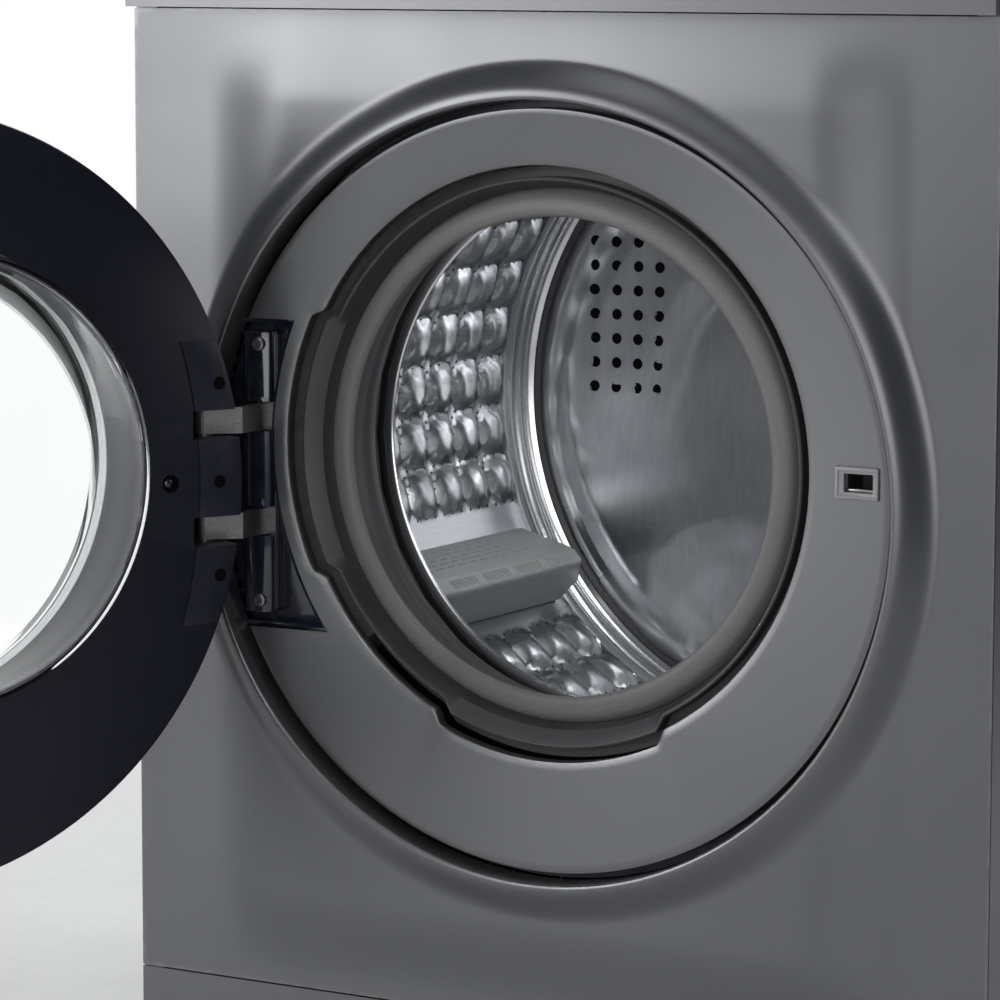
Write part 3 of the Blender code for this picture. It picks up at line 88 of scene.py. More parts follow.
# ---- Places taken from the frame ----
@dataclass(frozen=True)
class Datum:
    """Where the machine's main axes and planes are, in metres."""

    centre_x: float
    crest_y: float
    door_z: float
    drum_z: float
    hinge: Vector
    open_angle: float
    low_x: float
    high_x: float
    panel_low: float
    panel_high: float

    @classmethod
    def from_frame(cls) -> "Datum":
        """Reads the places of the door, drum and hinge off the CAD nodes.

        Returns:
            The datum that every piece is placed by.
        """
        low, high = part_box("front_panel")
        ring_low, ring_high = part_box("door_surround")
        mouth_low, mouth_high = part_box("gasket")
        pin_low, pin_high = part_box("hinge_pin")
        hinge = next(j for j in frame["joints"] if j["name"] == "door_hinge")
        return cls(
            centre_x=(low.x + high.x) / 2,
            crest_y=low.y,
            door_z=(ring_low.z + ring_high.z) / 2,
            drum_z=(mouth_low.z + mouth_high.z) / 2,
            hinge=(pin_low + pin_high) / 2,
            open_angle=math.radians(hinge["range_deg"][1]),
            low_x=low.x,
            high_x=high.x,
            panel_low=low.z,
            panel_high=high.z,
        )

    def at(self, across: float, depth: float, up: float) -> Vector:
        """A point given in millimetres from the middle of the door's collar, depth going into the machine."""
        return Vector((self.centre_x + across * MM, self.crest_y + depth * MM, self.door_z + up * MM))

    def drum_at(self, radius: float, depth: float, degrees: float) -> Vector:
        """A point in millimetres and degrees round the drum's axis."""
        turn = math.radians(degrees)
        rise = (self.drum_z - self.door_z) / MM
        return self.at(radius * math.cos(turn), depth, rise + radius * math.sin(turn))

    def door_axis(self) -> Vector:
        """A point on the collar's axis, in the plane of its crest."""
        return self.at(0.0, 0.0, 0.0)

    def drum_axis(self) -> Vector:
        """A point on the drum's axis, in the plane of the collar's crest."""
        return Vector((self.centre_x, self.crest_y, self.drum_z))

    def opened(self) -> Matrix:
        """The turn about the hinge that takes the shut door to where it stands open."""
        there = Matrix.Translation(self.hinge)
        return there @ Matrix.Rotation(-self.open_angle, 4, "Z") @ there.inverted()


DATUM = Datum.from_frame()


# ---- Bench work: what every piece is modelled with ----
def deselect() -> None:
    """Deselects every object."""
    for other in bpy.context.selected_objects:
        other.select_set(False)


def take(obj: Object) -> None:
    """Selects one object alone and makes it active."""
    deselect()
    bpy.context.view_layer.objects.active = obj
    obj.select_set(True)


@contextmanager
def editing(obj: Object, kind: Pick) -> Iterator[None]:
    """Holds a mesh in edit mode with one kind of selection.

    Args:
        obj: The mesh object to edit.
        kind: Whether vertices, edges or faces are selected.
    """
    take(obj)
    bpy.context.tool_settings.mesh_select_mode = kind.value
    bpy.ops.object.mode_set(mode="EDIT")
    yield
    bpy.ops.object.mode_set(mode="OBJECT")


def pick(obj: Object, kind: Pick, test: Callable[[Vector, Vector], bool]) -> None:
    """Selects the vertices, edges or faces that pass a test of place and normal, and nothing else.

    Args:
        obj: The mesh object, in object mode.
        kind: What is tested and selected.
        test: Takes a place and a normal in the mesh and says whether it is wanted.
    """
    mesh = obj.data
    for group in (mesh.vertices, mesh.edges, mesh.polygons):
        group.foreach_set("select", [False] * len(group))
    if kind is Pick.VERTS:
        chosen = [test(v.co, v.normal) for v in mesh.vertices]
        mesh.vertices.foreach_set("select", chosen)
    elif kind is Pick.EDGES:
        ends = [(mesh.vertices[a], mesh.vertices[b]) for a, b in mesh.edge_keys]
        chosen = [test((a.co + b.co) / 2, a.normal + b.normal) for a, b in ends]
        mesh.edges.foreach_set("select", chosen)
    else:
        chosen = [test(p.center, p.normal) for p in mesh.polygons]
        mesh.polygons.foreach_set("select", chosen)


def dot(name: str, place: Vector) -> Object:
    """A mesh of one vertex, ready to be extruded into an outline.

    Args:
        name: The new object's name.
        place: Where the vertex is.

    Returns:
        The new object, which sits at the origin.
    """
    deselect()
    bpy.ops.mesh.primitive_plane_add(size=MM, location=place)
    obj = bpy.context.object
    obj.name = name
    obj.data.name = name
    bpy.ops.object.transform_apply(location=True, rotation=True, scale=True)
    with editing(obj, Pick.VERTS):
        bpy.ops.mesh.select_all(action="SELECT")
        bpy.ops.mesh.merge(type="CENTER")
    return obj


def traced(name: str, route: Sequence[Vector], closed: bool) -> Object:
    """A line extruded from point to point.

    Args:
        name: The new object's name.
        route: The line's points.
        closed: Whether its ends are joined.

    Returns:
        The object, with every vertex selected.
    """
    obj = dot(name, route[0])
    with editing(obj, Pick.VERTS):
        for start, end in zip(route, route[1:]):
            bpy.ops.mesh.extrude_vertices_move(TRANSFORM_OT_translate={"value": end - start})
    if closed:
        first, last = route[0], route[-1]
        pick(obj, Pick.VERTS,
             lambda place, _: (place - first).length < MERGE or (place - last).length < MERGE)
        with editing(obj, Pick.VERTS):
            bpy.ops.mesh.edge_face_add()
    return obj


def tidy_normals(obj: Object) -> Object:
    """Merges doubled points and turns every face outwards."""
    with editing(obj, Pick.VERTS):
        bpy.ops.mesh.select_all(action="SELECT")
        bpy.ops.mesh.remove_doubles(threshold=MERGE)
        bpy.ops.mesh.normals_make_consistent(inside=False)
    return obj


def turned(
    name: str,
    profile: Sequence[Point],
    centre: Vector,
    steps: int = 96,
    axis: Axis = Axis.DEPTH,
    closed: bool = True,
) -> Object:
    """A profile spun all the way round an axis.

    Args:
        name: The new object's name.
        profile: (radius, distance along the axis) points in millimetres.
        centre: A point on the axis from which distances count.
        steps: How many facets go round.
        axis: The direction of the axis.
        closed: Whether the profile is a loop, which makes a closed ring.

    Returns:
        The turned object.
    """
    along = Vector(axis.value)
    out = Vector((0.0, 0.0, 1.0)) if axis is not Axis.UP else Vector((1.0, 0.0, 0.0))
    route = [centre + out * radius * MM + along * depth * MM for radius, depth in profile]
    obj = traced(name, route, closed)
    with editing(obj, Pick.VERTS):
        bpy.ops.mesh.select_all(action="SELECT")
        bpy.ops.mesh.spin(steps=steps, angle=FULL_TURN, center=centre, axis=along)
    return tidy_normals(obj)


def plate(name: str, outline: Sequence[Vector], pull: Vector) -> Object:
    """A flat outline filled and pulled out to a thickness.

    Args:
        name: The new object's name.
        outline: The corners in order.
        pull: The thickness and its direction.

    Returns:
        The closed plate.
    """
    obj = traced(name, outline, True)
    with editing(obj, Pick.VERTS):
        bpy.ops.mesh.select_all(action="SELECT")
        bpy.ops.mesh.edge_face_add()
        bpy.ops.mesh.extrude_region_move(TRANSFORM_OT_translate={"value": pull})
    return tidy_normals(obj)


def block(name: str, low: Vector, high: Vector, edge: float = 0.0, segments: int = 3) -> Object:
    """A block between two corners with its edges rounded.

    Args:
        name: The new object's name.
        low: Its lowest corner.
        high: Its highest corner.
        edge: The rounding in millimetres.
        segments: Facets of the rounding.

    Returns:
        The block.
    """
    deselect()
    bpy.ops.mesh.primitive_cube_add(size=1.0, location=(low + high) / 2, scale=high - low)
    obj = bpy.context.object
    obj.name = name
    obj.data.name = name
    bpy.ops.object.transform_apply(location=True, rotation=True, scale=True)
    if edge:
        with editing(obj, Pick.EDGES):
            bpy.ops.mesh.select_all(action="SELECT")
            bpy.ops.mesh.bevel(offset=edge * MM, segments=segments, affect="EDGES")
    return obj


def applied(obj: Object, kind: str, **settings: object) -> Object:
    """Adds one modifier with its settings and applies it."""
    take(obj)
    change = obj.modifiers.new(kind.lower(), kind)
    for name, value in settings.items():
        setattr(change, name, value)
    bpy.ops.object.modifier_apply(modifier=change.name)
    return obj


def rounded(obj: Object, width: float, segments: int = 2, degrees: float = 35.0) -> Object:
    """Rounds the sharp edges of a piece, width in millimetres."""
    return applied(obj, "BEVEL", width=width * MM, segments=segments, limit_method="ANGLE",
                   angle_limit=math.radians(degrees), use_clamp_overlap=True)


def cut(obj: Object, *cutters: Object) -> Object:
    """Takes other shapes away from a piece and removes them."""
    for cutter in cutters:
        applied(obj, "BOOLEAN", operation="DIFFERENCE", solver="EXACT", object=cutter)
        bpy.data.objects.remove(cutter)
    return obj


def joined(name: str, parts: Sequence[Object]) -> Object:
    """Joins objects into one.

    Args:
        name: The joined object's name.
        parts: The objects, the first of which stays.

    Returns:
        The joined object.
    """
    take(parts[0])
    for part in parts:
        part.select_set(True)
    bpy.ops.object.join()
    parts[0].name = name
    parts[0].data.name = name
    return parts[0]


def copied(obj: Object, name: str, move: Matrix) -> Object:
    """A copy of an object with its own mesh, moved by a matrix."""
    twin = obj.copy()
    twin.data = obj.data.copy()
    twin.name = name
    twin.data.name = name
    bpy.context.scene.collection.objects.link(twin)
    twin.data.transform(move)
    return twin


def about(centre: Vector, degrees: float, axis: Axis = Axis.DEPTH) -> Matrix:
    """A turn about an axis through a point."""
    there = Matrix.Translation(centre)
    return there @ Matrix.Rotation(math.radians(degrees), 4, Vector(axis.value)) @ there.inverted()


def seat(
    obj: Object,
    body: str,
    finish: Material,
    slot: str,
    replaces: Sequence[str] = (),
    degrees: float = 32.0,
) -> Object:
    """Shades, dresses and fastens a finished piece.

    Args:
        obj: The piece, with its place in its mesh.
        body: The CAD body that it rides on.
        finish: Its material.
        slot: The record's material slot; not used.
        replaces: CAD nodes that it stands for.
        degrees: Edges sharper than this stay sharp.

    Returns:
        The piece.
    """
    take(obj)
    bpy.ops.object.shade_smooth_by_angle(angle=math.radians(degrees))
    obj.data.materials.clear()
    obj.data.materials.append(finish)
    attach(obj, body)
    if replaces:
        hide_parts(*replaces)
    LOG.info("%s: %d faces on %s", obj.name, len(obj.data.polygons), body)
    return obj


# ---- Shared shader groups ----
class ShaderGroup:
    """A node group of the looks that several finishes share."""

    def __init__(self, name: str, inputs: dict[str, float], outputs: Sequence[str]) -> None:
        """Makes the group and its sockets.

        Args:
            name: The group's name.
            inputs: Input names and their usual values.
            outputs: Output names.
        """
        self.tree = bpy.data.node_groups.new(name, "ShaderNodeTree")
        for label, value in inputs.items():
            made = self.tree.interface.new_socket(name=label, in_out="INPUT", socket_type="NodeSocketFloat")
            made.default_value = value
        for label in outputs:
            self.tree.interface.new_socket(name=label, in_out="OUTPUT", socket_type="NodeSocketFloat")
        self.given = self.tree.nodes.new("NodeGroupInput")
        self.result = self.tree.nodes.new("NodeGroupOutput")

    def node(self, kind: str, **settings: object) -> bpy.types.Node:
        """Adds a node with its settings."""
        made = self.tree.nodes.new(kind)
        for label, value in settings.items():
            setattr(made, label, value)
        return made

    def wire(self, source: Socket, target: Socket) -> None:
        """Joins two sockets."""
        self.tree.links.new(source, target)

    def maths(self, operation: str, first: Socket, second: Socket | float) -> Socket:
        """One sum of two values.

        Args:
            operation: The Math node's operation.
            first: The first value's socket.
            second: The second value, as a socket or a number.

        Returns:
            The socket of the answer.
        """
        made = self.node("ShaderNodeMath", operation=operation, use_clamp=False)
        self.wire(first, made.inputs[0])
        if isinstance(second, float):
            made.inputs[1].default_value = second
        else:
            self.wire(second, made.inputs[1])
        return made.outputs[0]

    def ramp(self, source: Socket, low: float, high: float) -> Socket:
        """Spreads the values between low and high over 0 to 1, without going past them."""
        made = self.node("ShaderNodeMapRange", clamp=True)
        made.inputs["From Min"].default_value = low
        made.inputs["From Max"].default_value = high
        self.wire(source, made.inputs["Value"])
        return made.outputs["Result"]


def grain_group() -> bpy.types.NodeTree:
    """Fine grain that can be drawn out along one axis, over broad cloudy change.

    Returns:
        The group, with outputs Fine, Broad and Height.
    """
    group = ShaderGroup("surface_grain", {"Scale": 400.0, "Along X": 1.0, "Along Y": 1.0, "Along Z": 1.0},
                        ("Fine", "Broad", "Height"))
    place = group.node("ShaderNodeTexCoord")
    stretch = group.node("ShaderNodeCombineXYZ")
    for label, axis in (("Along X", "X"), ("Along Y", "Y"), ("Along Z", "Z")):
        group.wire(group.given.outputs[label], stretch.inputs[axis])
    drawn = group.node("ShaderNodeVectorMath", operation="MULTIPLY")
    group.wire(place.outputs["Object"], drawn.inputs[0])
    group.wire(stretch.outputs[0], drawn.inputs[1])
    fine = group.node("ShaderNodeTexNoise")
    fine.inputs["Detail"].default_value = 3.0
    group.wire(drawn.outputs[0], fine.inputs["Vector"])
    group.wire(group.given.outputs["Scale"], fine.inputs["Scale"])
    broad = group.node("ShaderNodeTexNoise")
    broad.inputs["Scale"].default_value = 6.0
    broad.inputs["Detail"].default_value = 2.0
    group.wire(place.outputs["Object"], broad.inputs["Vector"])
    group.wire(group.ramp(fine.outputs["Fac"], 0.3, 0.7), group.result.inputs["Fine"])
    group.wire(group.ramp(broad.outputs["Fac"], 0.3, 0.7), group.result.inputs["Broad"])
    group.wire(fine.outputs["Fac"], group.result.inputs["Height"])
    return group.tree


def wear_group() -> bpy.types.NodeTree:
    """A mask of rubbed edges, broken up by noise.

    Returns:
        The group, with output Mask.
    """
    group = ShaderGroup("edge_wear", {"Amount": 0.5}, ("Mask",))
    shape = group.node("ShaderNodeNewGeometry")
    edges = group.ramp(shape.outputs["Pointiness"], 0.535, 0.60)
    place = group.node("ShaderNodeTexCoord")
    noise = group.node("ShaderNodeTexNoise")
    noise.inputs["Scale"].default_value = 90.0
    group.wire(place.outputs["Object"], noise.inputs["Vector"])
    broken = group.maths("MULTIPLY", edges, group.ramp(noise.outputs["Fac"], 0.35, 0.65))
    group.wire(group.maths("MULTIPLY", broken, group.given.outputs["Amount"]), group.result.inputs["Mask"])
    return group.tree


def dust_group() -> bpy.types.NodeTree:
    """A mask of dust on faces that look up.

    Returns:
        The group, with output Mask.
    """
    group = ShaderGroup("settled_dust", {"Amount": 0.1}, ("Mask",))
    shape = group.node("ShaderNodeNewGeometry")
    split = group.node("ShaderNodeSeparateXYZ")
    group.wire(shape.outputs["Normal"], split.inputs[0])
    upward = group.ramp(split.outputs["Z"], 0.55, 1.0)
    place = group.node("ShaderNodeTexCoord")
    noise = group.node("ShaderNodeTexNoise")
    noise.inputs["Scale"].default_value = 35.0
    noise.inputs["Detail"].default_value = 6.0
    group.wire(place.outputs["Object"], noise.inputs["Vector"])
    patchy = group.maths("MULTIPLY", upward, group.ramp(noise.outputs["Fac"], 0.3, 0.75))
    group.wire(group.maths("MULTIPLY", patchy, group.given.outputs["Amount"]), group.result.inputs["Mask"])
    return group.tree


GRAIN = grain_group()
WEAR = wear_group()
DUST = dust_group()
DUST_COLOUR = (0.42, 0.41, 0.39)


# ---- Finishes ----
@dataclass(frozen=True)
class Finish:
    """A surface finish: its colours, gloss, grain, wear and dust."""

    name: str
    colour: Colour
    tint: Colour
    roughness: float
    metallic: float = 0.0
    grain: float = 500.0
    drawn: tuple[float, float, float] = (1.0, 1.0, 1.0)
    bump: float = 0.05
    bump_depth: float = 0.0002
    change: float = 0.08
    wear: float = 0.3
    dust: float = 0.1
    coat: float = 0.0
    coat_roughness: float = 0.1
    specular: float = 0.5

    def unworn(self) -> "Finish":
        """The same finish without rubbed edges, for coarse meshes."""
        return replace(self, name=f"{self.name}_plain", wear=0.0)

    def built(self) -> Material:
        """Builds the finish as a node material.

        Returns:
            The material.
        """
        made = bpy.data.materials.new(self.name)
        made.use_nodes = True
        nodes, links = made.node_tree.nodes, made.node_tree.links
        shader = nodes["Principled BSDF"]
        grain = nodes.new("ShaderNodeGroup")
        grain.node_tree = GRAIN
        grain.inputs["Scale"].default_value = self.grain
        for label, value in zip(("Along X", "Along Y", "Along Z"), self.drawn):
            grain.inputs[label].default_value = value
        wear = nodes.new("ShaderNodeGroup")
        wear.node_tree = WEAR
        wear.inputs["Amount"].default_value = self.wear
        dust = nodes.new("ShaderNodeGroup")
        dust.node_tree = DUST
        dust.inputs["Amount"].default_value = self.dust

        speckle = self._mix(made, grain.outputs["Fine"], (*self.colour, 1.0), (*self.tint, 1.0))
        rubbed = self._mix(made, wear.outputs["Mask"], speckle, self._rubbed_colour())
        dusty = self._mix(made, dust.outputs["Mask"], rubbed, (*DUST_COLOUR, 1.0))
        links.new(dusty, shader.inputs["Base Color"])

        gloss = nodes.new("ShaderNodeMapRange")
        gloss.inputs["To Min"].default_value = max(self.roughness - self.change, 0.02)
        gloss.inputs["To Max"].default_value = min(self.roughness + self.change, 1.0)
        links.new(grain.outputs["Broad"], gloss.inputs["Value"])
        duller = nodes.new("ShaderNodeMath")
        duller.operation = "MULTIPLY_ADD"
        duller.inputs[1].default_value = 0.5
        links.new(dust.outputs["Mask"], duller.inputs[0])
        links.new(gloss.outputs["Result"], duller.inputs[2])
        links.new(duller.outputs[0], shader.inputs["Roughness"])

        bump = nodes.new("ShaderNodeBump")
        bump.inputs["Strength"].default_value = self.bump
        bump.inputs["Distance"].default_value = self.bump_depth
        links.new(grain.outputs["Height"], bump.inputs["Height"])
        links.new(bump.outputs["Normal"], shader.inputs["Normal"])
        shader.inputs["Metallic"].default_value = self.metallic
        shader.inputs["Specular IOR Level"].default_value = self.specular
        shader.inputs["Coat Weight"].default_value = self.coat
        shader.inputs["Coat Roughness"].default_value = self.coat_roughness
        return made

    def _rubbed_colour(self) -> tuple[float, float, float, float]:
        """The paler colour of rubbed edges."""
        return (*(min(channel * 1.8 + 0.03, 1.0) for channel in self.colour), 1.0)

    @staticmethod
    def _mix(made: Material, share: Socket, first: object, second: object) -> Socket:
        """Mixes two colours by a mask.

        Args:
            made: The material.
            share: The mask's socket.
            first: A colour or a socket.
            second: A colour or a socket.

        Returns:
            The mixed colour's socket.
        """
        mix = made.node_tree.nodes.new("ShaderNodeMix")
        mix.data_type = "RGBA"
        made.node_tree.links.new(share, mix.inputs["Factor"])
        for socket, value in zip((mix.inputs[6], mix.inputs[7]), (first, second)):
            if isinstance(value, bpy.types.NodeSocket):
                made.node_tree.links.new(value, socket)
            else:
                socket.default_value = value
        return mix.outputs[2]


@dataclass(frozen=True)
class GlassFinish:
    """Clear glass with a faint film that changes its gloss."""

    name: str
    colour: Colour
    index: float = 1.16
    film: float = 0.03

    def built(self) -> Material:
        """Builds the glass.

        Returns:
            The material.
        """
        made = bpy.data.materials.new(self.name)
        made.use_nodes = True
        nodes, links = made.node_tree.nodes, made.node_tree.links
        shader = nodes["Principled BSDF"]
        shader.inputs["Transmission Weight"].default_value = 1.0
        shader.inputs["IOR"].default_value = self.index
        grain = nodes.new("ShaderNodeGroup")
        grain.node_tree = GRAIN
        grain.inputs["Scale"].default_value = 60.0
        tint = nodes.new("ShaderNodeMix")
        tint.data_type = "RGBA"
        tint.inputs[6].default_value = (*self.colour, 1.0)
        tint.inputs[7].default_value = (*(channel * 0.97 for channel in self.colour), 1.0)
        links.new(grain.outputs["Broad"], tint.inputs["Factor"])
        links.new(tint.outputs[2], shader.inputs["Base Color"])
        gloss = nodes.new("ShaderNodeMapRange")
        gloss.inputs["To Min"].default_value = 0.0
        gloss.inputs["To Max"].default_value = self.film
        links.new(grain.outputs["Fine"], gloss.inputs["Value"])
        links.new(gloss.outputs["Result"], shader.inputs["Roughness"])
        return made


BRUSHED_ACROSS = (0.04, 1.0, 1.0)


@dataclass(frozen=True)
class Finishes:
    """Every finish on the machine, built once."""

    graphite: Material
    navy: Material
    gloss_navy: Material
    black: Material
    void: Material
    grey: Material
    catch: Material
    pale: Material
    rubber: Material
    lip_rubber: Material
    stainless: Material
    mirror_steel: Material
    brushed: Material
    zinc: Material
    cast: Material
    concrete: Material
    board: Material
    glass: Material
    display: Material
    mark: Material

    @classmethod
    def mixed(cls, worn: bool = True) -> "Finishes":
        """Builds all the finishes.

        Args:
            worn: Whether edges are rubbed, which only fine meshes show properly.

        Returns:
            The set of materials.
        """
        def made(finish: Finish | GlassFinish) -> Material:
            if worn or isinstance(finish, GlassFinish):
                return finish.built()
            return finish.unworn().built()
        return cls(
            graphite=made(Finish("graphite_satin_paint", (0.128, 0.130, 0.136), (0.146, 0.148, 0.154),
                                 0.35, 0.87, grain=2600.0, bump=0.12, bump_depth=0.00003, change=0.03,
                                 wear=0.5)),
            navy=made(Finish("dark_navy_plastic", (0.006, 0.007, 0.014), (0.009, 0.010, 0.019), 0.42,
                             grain=1500.0, bump=0.15, bump_depth=0.00005, wear=0.4, dust=0.05,
                             specular=0.3)),
            gloss_navy=made(Finish("glossy_navy_plastic", (0.004, 0.006, 0.014), (0.006, 0.008, 0.018),
                                   0.12, grain=700.0, bump=0.03, change=0.04, coat=0.6, dust=0.03)),
            black=made(Finish("black_plastic", (0.012, 0.012, 0.014), (0.02, 0.02, 0.023), 0.5,
                              grain=1200.0, bump=0.2, bump_depth=0.00008)),
            # Painted shade: a near-black, barely reflective finish that stands for the dark inside holes and
            # screw wells.
            void=made(Finish("painted_hole_shade", (0.002, 0.002, 0.002), (0.004, 0.004, 0.004), 0.9, wear=0.0,
                             dust=0.0, specular=0.05)),
            grey=made(Finish("lifter_grey_plastic", (0.40, 0.415, 0.42), (0.44, 0.455, 0.46), 0.42,
                             grain=1100.0, bump=0.18, bump_depth=0.00006, wear=0.2)),
            catch=made(Finish("catch_plate_plastic", (0.20, 0.20, 0.215), (0.23, 0.23, 0.245), 0.38,
                              grain=1100.0, bump=0.15, bump_depth=0.00006, wear=0.5)),
            # Pale plastic: the marks' real colour, and painted light on the bowl's rim and the window's
            # lining.
            pale=made(Finish("pale_plastic", (0.62, 0.63, 0.64), (0.68, 0.69, 0.70), 0.45, grain=1100.0,
                             bump=0.15, bump_depth=0.00006, wear=0.2)),
            rubber=made(Finish("dark_seal_rubber", (0.028, 0.027, 0.031), (0.045, 0.043, 0.047), 0.55,
                               grain=900.0, bump=0.3, bump_depth=0.0001, change=0.1, wear=0.2)),
            lip_rubber=made(Finish("grey_lip_rubber", (0.105, 0.10, 0.10), (0.135, 0.13, 0.13), 0.5,
                                   grain=800.0, bump=0.25, bump_depth=0.0001, change=0.08, wear=0.3)),
            stainless=made(Finish("drum_stainless_steel", (0.56, 0.57, 0.585), (0.62, 0.63, 0.645), 0.2,
                                  1.0, grain=700.0, drawn=(1.0, 0.06, 1.0), bump=0.04, bump_depth=0.00005,
                                  change=0.06, wear=0.1)),
            # The back plate's steel: the steel's own tone, darkened below the drum wall's stainless as
            # painted shade for the back of the drum.
            mirror_steel=made(Finish("pressed_steel_darkened_shade", (0.38, 0.39, 0.41), (0.44, 0.45, 0.47), 0.30,
                                     1.0, grain=260.0, drawn=(1.0, 1.0, 0.2), bump=0.05,
                                     bump_depth=0.0001, change=0.07, wear=0.1)),
            brushed=made(Finish("brushed_hinge_steel", (0.21, 0.205, 0.205), (0.30, 0.295, 0.295), 0.34,
                                1.0, grain=900.0, drawn=BRUSHED_ACROSS, bump=0.2, bump_depth=0.00005,
                                change=0.05, wear=0.2)),
            zinc=made(Finish("galvanised_sheet", (0.42, 0.44, 0.46), (0.60, 0.62, 0.64), 0.42, 0.9,
                             grain=45.0, bump=0.05, change=0.12)),
            cast=made(Finish("cast_aluminium", (0.38, 0.38, 0.39), (0.50, 0.50, 0.51), 0.55, 0.85,
                             grain=420.0, bump=0.5, bump_depth=0.0003)),
            concrete=made(Finish("cast_concrete", (0.30, 0.295, 0.28), (0.44, 0.43, 0.41), 0.9,
                                 grain=160.0, bump=0.8, bump_depth=0.0008, wear=0.5, dust=0.3)),
            board=made(Finish("control_board_lacquer", (0.006, 0.07, 0.03), (0.012, 0.10, 0.045), 0.35,
                              grain=600.0, coat=0.4)),
            glass=made(GlassFinish("clear_bowl_glass", (0.97, 0.985, 0.985))),
            display=made(Finish("smoked_display_glass", (0.004, 0.004, 0.006), (0.007, 0.007, 0.009),
                                0.08, grain=300.0, bump=0.01, change=0.03, coat=1.0,
                                coat_roughness=0.03)),
            mark=made(Finish("pale_printed_marks", (0.55, 0.56, 0.58), (0.62, 0.63, 0.65), 0.5,
                             grain=900.0)),
        )


# ---- The room ----
@dataclass(frozen=True)
class Softbox:
    """A softbox that faces the collar.

    Its bearing from the front and its rise are in degrees, its reach and size in metres, its power in watts.
    """

    name: str
    bearing: float
    rise: float
    reach: float
    size: Point
    power: float


@dataclass(frozen=True)
class DrumLamp:
    """A small lamp in the drum, placed and aimed by radius, depth and angle round the drum's axis."""

    name: str
    place: tuple[float, float, float]
    aim: tuple[float, float, float]
    power: float
    size: Point = (0.14, 0.05)


SOFTBOXES = (
    Softbox("left_key", -38.0, 15.0, 3.2, (0.85, 1.9), 48.0),
    Softbox("high_fill", 8.0, 60.0, 3.0, (2.2, 1.4), 5.0),
    Softbox("right_wall", 16.0, 8.0, 3.2, (2.5, 1.5), 34.0),
    Softbox("top_light", 10.0, 80.0, 2.6, (2.4, 2.0), 14.0),
    Softbox("rear_left", 215.0, 30.0, 3.4, (1.8, 1.8), 46.0),
    Softbox("rear_right", 130.0, 30.0, 3.4, (1.8, 1.8), 36.0),
)
DRUM_LAMPS = (
    DrumLamp("drum_lamp_upper", (150.0, 128.0, 70.0), (150.0, 260.0, 205.0), 0.34),
    DrumLamp("drum_lamp_right", (165.0, 126.0, 15.0), (60.0, 380.0, 120.0), 0.06),
)


